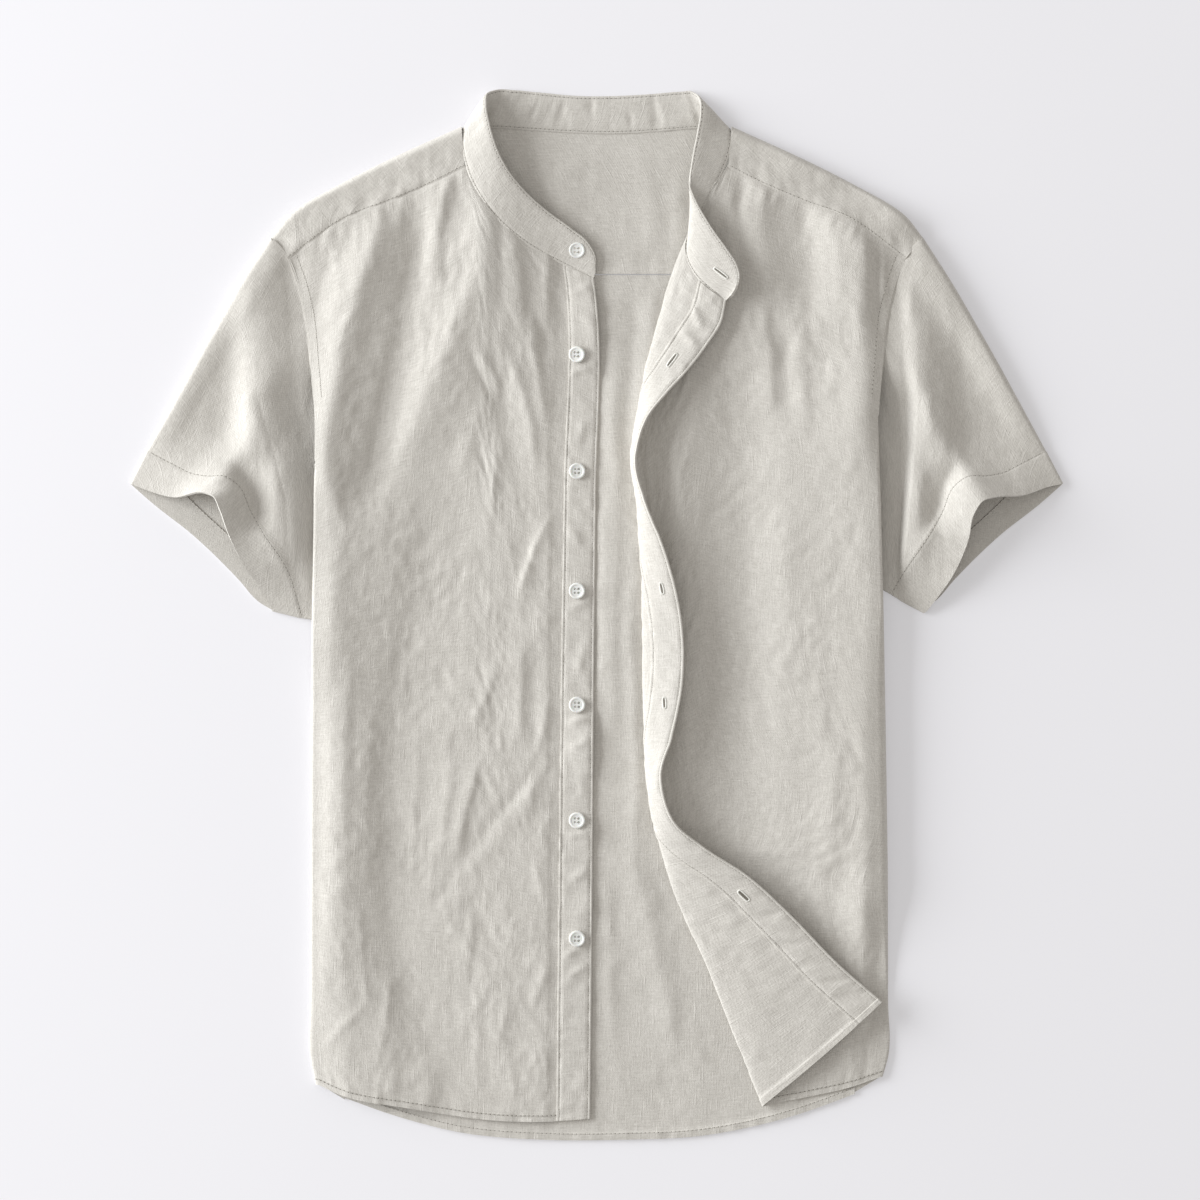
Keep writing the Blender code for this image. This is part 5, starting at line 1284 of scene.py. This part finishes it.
def build_buttonhole(name, surface, normal, hole, finish, dark):
    """A worked buttonhole: satin stitches as a ring of ribs round a long slit, with a dark plate in the
    slit as painted shade inside it. Height over the cloth is sin(pi r) across the ring, ribbed along it."""
    *ends, slit_half = hole
    flat = surface.reshape(-1, 3)
    found = [int(np.argmin(np.hypot(flat[:, 0] - x, flat[:, 1] - y))) for x, y in ends]
    start, end = flat[found[0]], flat[found[1]]
    middle = (start + end) / 2
    forward = end - start
    half = np.linalg.norm(forward) / 2
    forward /= 2 * half
    up = normal.reshape(-1, 3)[found].mean(axis=0)
    up -= forward * (up @ forward)
    up /= np.linalg.norm(up)
    beside = np.cross(up, forward)
    count, rings = 120, 7
    turn = np.linspace(0.0, 2 * np.pi, count, endpoint=False)
    middle_line = np.clip(np.cos(turn) * 1.6, -1.0, 1.0) * (half - 1.8)
    share = np.linspace(0.0, 1.0, rings)[:, None]
    wide = slit_half + 1.25 * share
    along = middle_line + np.cos(turn) * wide
    aside = np.sin(turn) * wide
    ribs = 1.0 + 0.16 * np.sin(turn * 30.0)
    height = 0.12 + 0.42 * np.sin(np.pi * (0.12 + 0.88 * share)) * ribs
    near = flat[np.linalg.norm(flat - middle, axis=1) < half + 6.0] - middle
    apart = (along[..., None] - near @ forward) ** 2 + (aside[..., None] - near @ beside) ** 2
    weight = np.exp(-apart / 1.6) + 1e-9
    under = (weight @ (near @ up)) / weight.sum(axis=2)
    height = height + under
    top = middle + along[..., None] * forward + aside[..., None] * beside + height[..., None] * up
    low = top[[0, -1]] - up * 0.5 * np.ones((2, 1, 1))
    points = np.vstack([low[:1], top, low[1:]])
    quads = quads_of(len(points), count, True).reshape(-1, 4)
    floor = np.stack([np.arange(count), np.arange(count) + (len(points) - 1) * count])
    closing = np.stack([floor[0], np.roll(floor[0], -1), np.roll(floor[1], -1), floor[1]], axis=1)
    ring = put_mesh(name, points.reshape(-1, 3), [quads, closing[:, ::-1]], finish, sharp=60.0)
    slit = middle + along[0][:, None] * 0.99 * forward + aside[0][:, None] * beside
    slit = slit + up * (under[0][:, None] + 0.2)
    # painted shade: a thin dark plate in the slit stands for the shade inside it
    gap = put_mesh(name + "_slit_painted_shade", np.vstack([slit, slit - up * 0.3]), slit_faces(count), dark, sharp=60.0)
    return [ring, gap]


def slit_faces(count):
    """Faces of a thin closed plate between two rings of as many points."""
    first = np.arange(count)
    sides = np.stack([first, first + count, np.roll(first, -1) + count, np.roll(first, -1)], axis=1)
    return [sides, np.stack([first, first[::-1] + count])]


class Reading:
    """A number or colour that varies over a surface. Python's operators on it add Math nodes."""

    def __init__(self, finish, socket):
        self.finish, self.socket = finish, socket

    def maths(self, operation, first, second=0.0):
        """A Math node on one or two values."""
        return self.finish.add("ShaderNodeMath", {"operation": operation}, {0: first, 1: second})

    def __add__(self, other):
        return self.maths("ADD", self, other)

    def __sub__(self, other):
        return self.maths("SUBTRACT", self, other)

    def __rsub__(self, other):
        return self.maths("SUBTRACT", other, self)

    def __mul__(self, other):
        return self.maths("MULTIPLY", self, other)

    def sine(self):
        """Sine of the value in radians."""
        return self.maths("SINE", self)

    def clear_of(self, low, high):
        """0 below the first value, 1 above the second, and a straight rise between."""
        return self.finish.add(
            "ShaderNodeMapRange", {"clamp": True}, {"Value": self, "From Min": low, "From Max": high}
        )

    __radd__ = __add__
    __rmul__ = __mul__


class Finish:
    """A material's nodes. Constants go on the shader's own sockets; `add` makes any other node."""

    def __init__(self, name, **constants):
        self.material = bpy.data.materials.new(name)
        self.material.use_nodes = True
        self.nodes, self.links = self.material.node_tree.nodes, self.material.node_tree.links
        self.shader = self.nodes["Principled BSDF"]
        for socket, value in constants.items():
            self.shader.inputs[socket.replace("_", " ")].default_value = value

    def add(self, kind, settings, values, out=0):
        """A node of a kind: its settings first, then a value or a link for each named socket."""
        node = self.nodes.new(kind)
        for key, value in settings.items():
            setattr(node, key, value)
        for key, value in values.items():
            self.give(node.inputs[key], value)
        return Reading(self, node.outputs[out])

    def give(self, socket, value):
        """Links a varying value to a socket, or sets a plain one on it."""
        if isinstance(value, Reading):
            self.links.new(value.socket, socket)
        else:
            socket.default_value = value

    def vary(self, socket, value):
        """Gives one of the shader's own sockets its value."""
        self.give(self.shader.inputs[socket], value)

    def own_place(self):
        """Place of a point in the shirt's own frame, in metres."""
        return self.add("ShaderNodeTexCoord", {}, {}, 3)

    def noise(self, place, scale, stretch=(1.0, 1.0, 1.0), detail=2.0, roughness=0.5):
        """Soft random values at a place, drawn out along an axis by a small stretch on it."""
        spread = self.add("ShaderNodeMapping", {}, {"Vector": place, "Scale": stretch})
        values = {"Vector": spread, "Scale": scale, "Detail": detail, "Roughness": roughness}
        return self.add("ShaderNodeTexNoise", {}, values)

    def mix(self, factor, first, second):
        """A colour between two, by a factor."""
        colours = {6: (*first, 1.0), 7: (*second, 1.0)}
        return self.add("ShaderNodeMix", {"data_type": "RGBA"}, {0: factor, **colours}, 2)

    def bump(self, height, strength, distance):
        """Fine relief on the shader's normal: a height of 1 stands up by the distance, in metres."""
        values = {"Strength": strength, "Distance": distance, "Height": height}
        self.vary("Normal", self.add("ShaderNodeBump", {}, values))


def linen_finish(name, tone, pitch=0.00062, slub=1.0):
    """Plain-woven linen: threads cross as sin times sin along and across the cloth, each swelling in
    slubs, which are noise drawn out 30 times along the thread; tone drifts softly over the cloth."""
    light = tuple(min(c * 1.20, 1.0) for c in tone)
    dark = tuple(c * share for c, share in zip(tone, (0.76, 0.75, 0.73)))
    finish = Finish(name, Roughness=0.9, Sheen_Weight=0.12, Sheen_Roughness=0.6)
    finish.vary("Specular IOR Level", 0.25)
    place = finish.add("ShaderNodeUVMap", {"uv_map": "cloth"}, {})
    wander = finish.noise(place, 160.0) * 0.9
    across = finish.add("ShaderNodeSeparateXYZ", {}, {0: place}, 0)
    down = finish.add("ShaderNodeSeparateXYZ", {}, {0: place}, 1)
    turns = math.pi / pitch
    weave = (across * turns + wander).sine() * (down * turns + wander).sine()
    warp = finish.noise(place, 1.0, (1150.0, 120.0, 1.0), 2.0, 0.6)
    weft = finish.noise(place, 1.0, (110.0, 1100.0, 1.0), 2.0, 0.6)
    thick = finish.noise(place, 1.0, (760.0, 46.0, 1.0), 1.0).clear_of(0.6, 0.76)
    thick_weft = finish.noise(place, 1.0, (40.0, 740.0, 1.0), 1.0).clear_of(0.6, 0.76)
    cloud = finish.noise(place, 26.0, detail=4.0, roughness=0.6)
    speck = finish.noise(place, 900.0, detail=1.0)
    slubs = (thick + thick_weft) * slub
    tone_share = (
        0.5
        + (warp - 0.5) * 0.8
        + (weft - 0.5) * 0.8
        + slubs * 0.12
        + (cloud - 0.5) * 0.30
        + (speck - 0.5) * 0.75
        + weave * 0.08
    )
    finish.vary("Base Color", finish.mix(tone_share.clear_of(0.0, 1.0), dark, light))
    finish.vary("Roughness", 0.95 - tone_share * 0.14)
    finish.bump(weave * 0.22 + warp * 0.8 + weft * 0.8 + speck * 0.9 + slubs * 0.5, 0.7, 0.00030)
    return finish.material


def thread_finish(name, tone):
    """Sewing thread: two plies wound round each other as slanting waves."""
    finish = Finish(name, Roughness=0.75, Sheen_Weight=0.2)
    place = finish.own_place()
    waves = {"Vector": place, "Scale": 900.0, "Distortion": 1.5}
    ply = finish.add("ShaderNodeTexWave", {"bands_direction": "DIAGONAL"}, waves, 1)
    light, dark = (tuple(c * share for c in tone) for share in (1.1, 0.9))
    finish.vary("Base Color", finish.mix(finish.noise(place, 700.0), dark, light))
    finish.bump(ply, 0.4, 0.0001)
    return finish.material


def shadow_finish():
    """Painted shade: the dark finish of the plates that stand for the shade inside a buttonhole's slit and
    inside the needle holes.
    """
    finish = Finish("slit_and_hole_painted_shade", Roughness=1.0)
    place = finish.own_place()
    tone = finish.noise(place, 1500.0)
    finish.vary("Base Color", finish.mix(tone, *SLIT_PAINTED_SHADE_TONES))
    finish.bump(tone, 0.5, 0.0002)
    return finish.material


def button_finish():
    """Matt white button: faint curved layers through the blank, turning marks, and a soft gloss."""
    gloss = {"Coat_Weight": 0.15, "Coat_Roughness": 0.2, "Subsurface_Weight": 0.05}
    finish = Finish("button_white", Roughness=0.32, **gloss)
    place = finish.own_place()
    layers = finish.noise(place, 260.0, (1.0, 0.35, 1.0), 4.0, 0.6)
    fine = finish.noise(place, 2600.0)
    finish.vary("Base Color", finish.mix(layers.clear_of(0.35, 0.7), *BUTTON_TONES))
    finish.vary("Roughness", 0.26 + layers * 0.16)
    finish.bump(layers * 0.4 + fine * 0.25, 0.2, 0.0001)
    return finish.material


def floor_finish():
    """Pale, slightly cool paper: a faint grain and a very soft drift of tone."""
    glow = (1.0, 1.0, 1.02, 1.0)
    finish = Finish("pale_paper", Roughness=0.9, Emission_Color=glow, Emission_Strength=PAPER_GLOW)
    place = finish.own_place()
    drift = finish.noise(place, 1.3, detail=1.0)
    finish.vary("Base Color", finish.mix(drift, *PAPER_TONES))
    finish.bump(finish.noise(place, 900.0), 0.05, 0.0001)
    return finish.material


def add_stage():
    """Table top under the shirt, a low wide window from the upper left, pale fill all round, and the camera
    straight above."""
    shape = np.array([(-3000, -3000, 0), (3000, -3000, 0), (3000, 3000, 0), (-3000, 3000, 0)], float)
    floor = put_mesh("table_top", shape - (0, 0, 0.1), [np.array([[0, 1, 2, 3]])], floor_finish())
    window = bpy.data.lights.new("window", "AREA")
    window.shape = "RECTANGLE"
    window.size, window.size_y = WINDOW_SIZE
    window.energy = WINDOW_POWER
    window.color = WINDOW_TONE
    lamp = bpy.data.objects.new("window", window)
    up, round_ = math.radians(WINDOW_HEIGHT), math.radians(WINDOW_TURN)
    toward = Vector((math.cos(up) * math.cos(round_), math.cos(up) * math.sin(round_), math.sin(up)))
    lamp.rotation_euler = toward.to_track_quat("Z", "Y").to_euler()
    lamp.location = toward * WINDOW_DISTANCE
    bpy.context.scene.collection.objects.link(lamp)
    world = bpy.data.worlds.new("pale_room")
    bpy.context.scene.world = world
    world.use_nodes = True
    background = world.node_tree.nodes["Background"]
    background.inputs["Color"].default_value = ROOM_TONE
    background.inputs["Strength"].default_value = FILL
    camera = bpy.data.cameras.new("overhead")
    camera.sensor_width = 36.0
    camera.lens = 36.0 * CAMERA_PLACE[2] / VIEW_WIDTH
    camera.clip_end = 50.0
    view = bpy.data.objects.new("overhead", camera)
    view.location = CAMERA_PLACE
    bpy.context.scene.collection.objects.link(view)
    bpy.context.scene.camera = view
    bpy.context.scene.view_settings.view_transform = "Standard"


def upper_side(points, normal, lift):
    """Points of a grid's upper face, and which way it faces there."""
    facing = normal * np.sign(normal[..., 2:3] + 1e-9)
    return points + facing * lift, facing


def sew_visible(thread, path, normal, lift, **stitch):
    """Stitches on the side of a line that faces up, broken where the cloth turns over."""
    up = normal[:, 2] > 0.0
    breaks = np.flatnonzero(np.diff(up.astype(int))) + 1
    for part in np.split(np.arange(len(path)), breaks):
        if len(part) > 3:
            sense = 1.0 if up[part[0]] else -1.0
            thread.sew(path[part], normal[part] * sense, lift, **stitch)


def add_back_and_yoke(made, thread, cloth):
    """Back and yoke, the back's hem stitched, and the yoke's front and back seams."""
    made["back"], back_points, back_height = build_back(cloth)
    back_up = np.zeros_like(back_points)
    back_up[..., 2] = 1.0
    back_top = back_points + back_up * back_height[..., None]
    thread.sew(*beside_edge(back_top, back_up, BACK_HEM_STITCH, 0, True), 0.0)

    made["yoke"], points, normal, (arm, middle, back_rows) = build_yoke(cloth)
    top, up = upper_side(points, normal, THIN / 2)
    for first, last in ((0, arm), (arm + middle, None)):
        thread.sew(*beside_edge(top, up, EDGE_STITCH, 0, True, first, last), 0.0)
    inner = arm // 2, arm + middle + arm // 2
    thread.sew(*beside_edge(top[:back_rows], up[:back_rows], EDGE_STITCH, 0, False, *inner), 0.5)


def add_fronts(made, thread, cloth, strip_cloth):
    """Both fronts with their hem and armhole stitching, then their plackets. Returns the left front's grid
    and the upper faces of both plackets."""
    made["front_right"], right = build_front(
        "front_right_panel", right_front_grid(), RIGHT_CORNER, -1, 31, cloth
    )
    made["front_left"], left = build_front("front_left_panel", left_front_grid(), LEFT_CORNER, 1, 51, cloth)
    armhole = int(np.searchsorted(row_shares() * FRONT_LENGTH, ARMHOLE_DOWN))
    for points in (right, left):
        normal = normals_of(points)
        sew_visible(thread, *beside_edge(points, normal, FRONT_HEM_STITCH, 0, True), THIN / 2 + HEM_EXTRA * 0.5)
        sew_visible(thread, *beside_edge(points, normal, ARMHOLE_STITCH, 1, True, 0, armhole), THIN / 2)

    made["placket_right"], right_face = build_placket(
        "placket_right_strip", right, False, PLACKET_CREASES, 0.0, 141, strip_cloth
    )
    made["placket_left"], left_face = build_placket(
        "placket_left_strip", left, True, FLAP_CREASES, 1.0, 151, strip_cloth
    )
    for points, face in ((right, right_face), (left, left_face)):
        normal = normals_of(points)[:, : len(PLACKET_MARKS)]
        for column in (3, len(PLACKET_MARKS) - 4):
            thread.sew(face[3:-2, column], normal[3:-2, column], 0.0)
    return left, right_face, left_face


def add_sleeves(made, thread, cloth):
    """Both sleeves, their hems stitched on the upper side and, inside, all round."""
    for side, word, armhole, underarm, wave, seed in (
        (-1, "right", RIGHT_BACK_ARMHOLE, RIGHT_UNDERARM, RIGHT_WAVE, 161),
        (1, "left", LEFT_BACK_ARMHOLE, LEFT_UNDERARM, LEFT_WAVE, 181),
    ):
        made[f"sleeve_{word}"], rings, outward, hem_row = build_sleeve(
            f"sleeve_{word}_tube", side, armhole, underarm, wave, seed, cloth
        )
        closed = np.append(np.arange(rings.shape[1]), 0)
        hem_line, hem_out = rings[hem_row][closed], outward[hem_row][closed]
        thread.sew(hem_line[: FRONT_RING + 1], hem_out[: FRONT_RING + 1], THIN / 2)
        thread.sew(hem_line, -hem_out, THIN / 2 + HEM_EXTRA)


def add_collar(made, thread, left_front, cloth):
    """Collar band with its two stitch lines on both sides. Returns its upper face and normals."""
    made["collar"], band, normal, reach, upward = build_collar(left_front, cloth)
    for from_end in (False, True):
        line, facing = beside_edge(band, normal, EDGE_STITCH, 1, from_end, 6, -6)
        for sense in (1.0, -1.0):
            thread.sew(line, facing * sense, BAND / 2 - 0.28)
    return band + normal * (upward * reach)[..., None], normal * upward


def add_buttons(made, thread, places, finish):
    """A button at each place on its cloth, tied down by two short runs of thread over its holes."""
    for number, (x, y, cloth) in enumerate(places, start=1):
        seat, facing = seat_on(cloth, x, y)
        made[f"button_{number}"], turned = build_button(f"button_{number}_turned", seat, facing, finish)
        for beside in (-THREAD_HOLE, THREAD_HOLE):
            ends = [(-1.45, beside, 1.3), (-0.9, beside, 2.0), (0.9, beside, 2.0), (1.45, beside, 1.3)]
            ends = np.array(ends) @ turned.T + seat
            run = at_lengths(ends, np.linspace(0.0, lengths(ends)[-1], 12))
            thread.sew(run, np.repeat(facing[None], 12, axis=0), 0.0, length=3.0, gap=0.2, radius=0.3)


def main():
    """Makes the shirt in the order of its sewing, puts each piece under the root in place of its hidden part
    from the model, and lights it."""
    linen = {
        slot: linen_finish(f"woven_{slot}", LINEN_TONE)
        for slot in ("body_linen", "placket_linen", "band_linen", "sleeve_linen")
    }
    white, dark = button_finish(), shadow_finish()
    sewing = thread_finish("sewing_thread", SEWING_TONE_WITH_GROOVE_SHADE)
    heavy = thread_finish("buttonhole_thread", BUTTONHOLE_TONE)
    made, thread = {}, Thread()

    add_back_and_yoke(made, thread, linen["body_linen"])
    left, right_face, left_face = add_fronts(made, thread, linen["body_linen"], linen["placket_linen"])
    add_sleeves(made, thread, linen["sleeve_linen"])
    band_face, band_up = add_collar(made, thread, left, linen["band_linen"])
    places = [(*COLLAR_BUTTON, band_face)] + [(BUTTON_X, y, right_face) for y in BUTTONS_Y]
    add_buttons(made, thread, places, white)

    holes = []
    left_normal = normals_of(left)[:, : len(PLACKET_MARKS)]
    for number, hole in enumerate(BUTTONHOLES, start=2):
        holes += build_buttonhole(f"buttonhole_{number}", left_face, left_normal, hole, heavy, dark)
    holes += build_buttonhole("buttonhole_1", band_face, band_up, COLLAR_BUTTONHOLE, heavy, dark)
    # the needle-hole plates take the dark finish as painted shade
    stitching, marks = thread.made("stitching", sewing), thread.hole_shade_made("needle_hole_painted_shade", dark)

    for node, piece in made.items():
        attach(piece, "root")
        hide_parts(node)
    for piece in [stitching, marks, *holes]:
        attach(piece, "root")
    add_stage()


main()
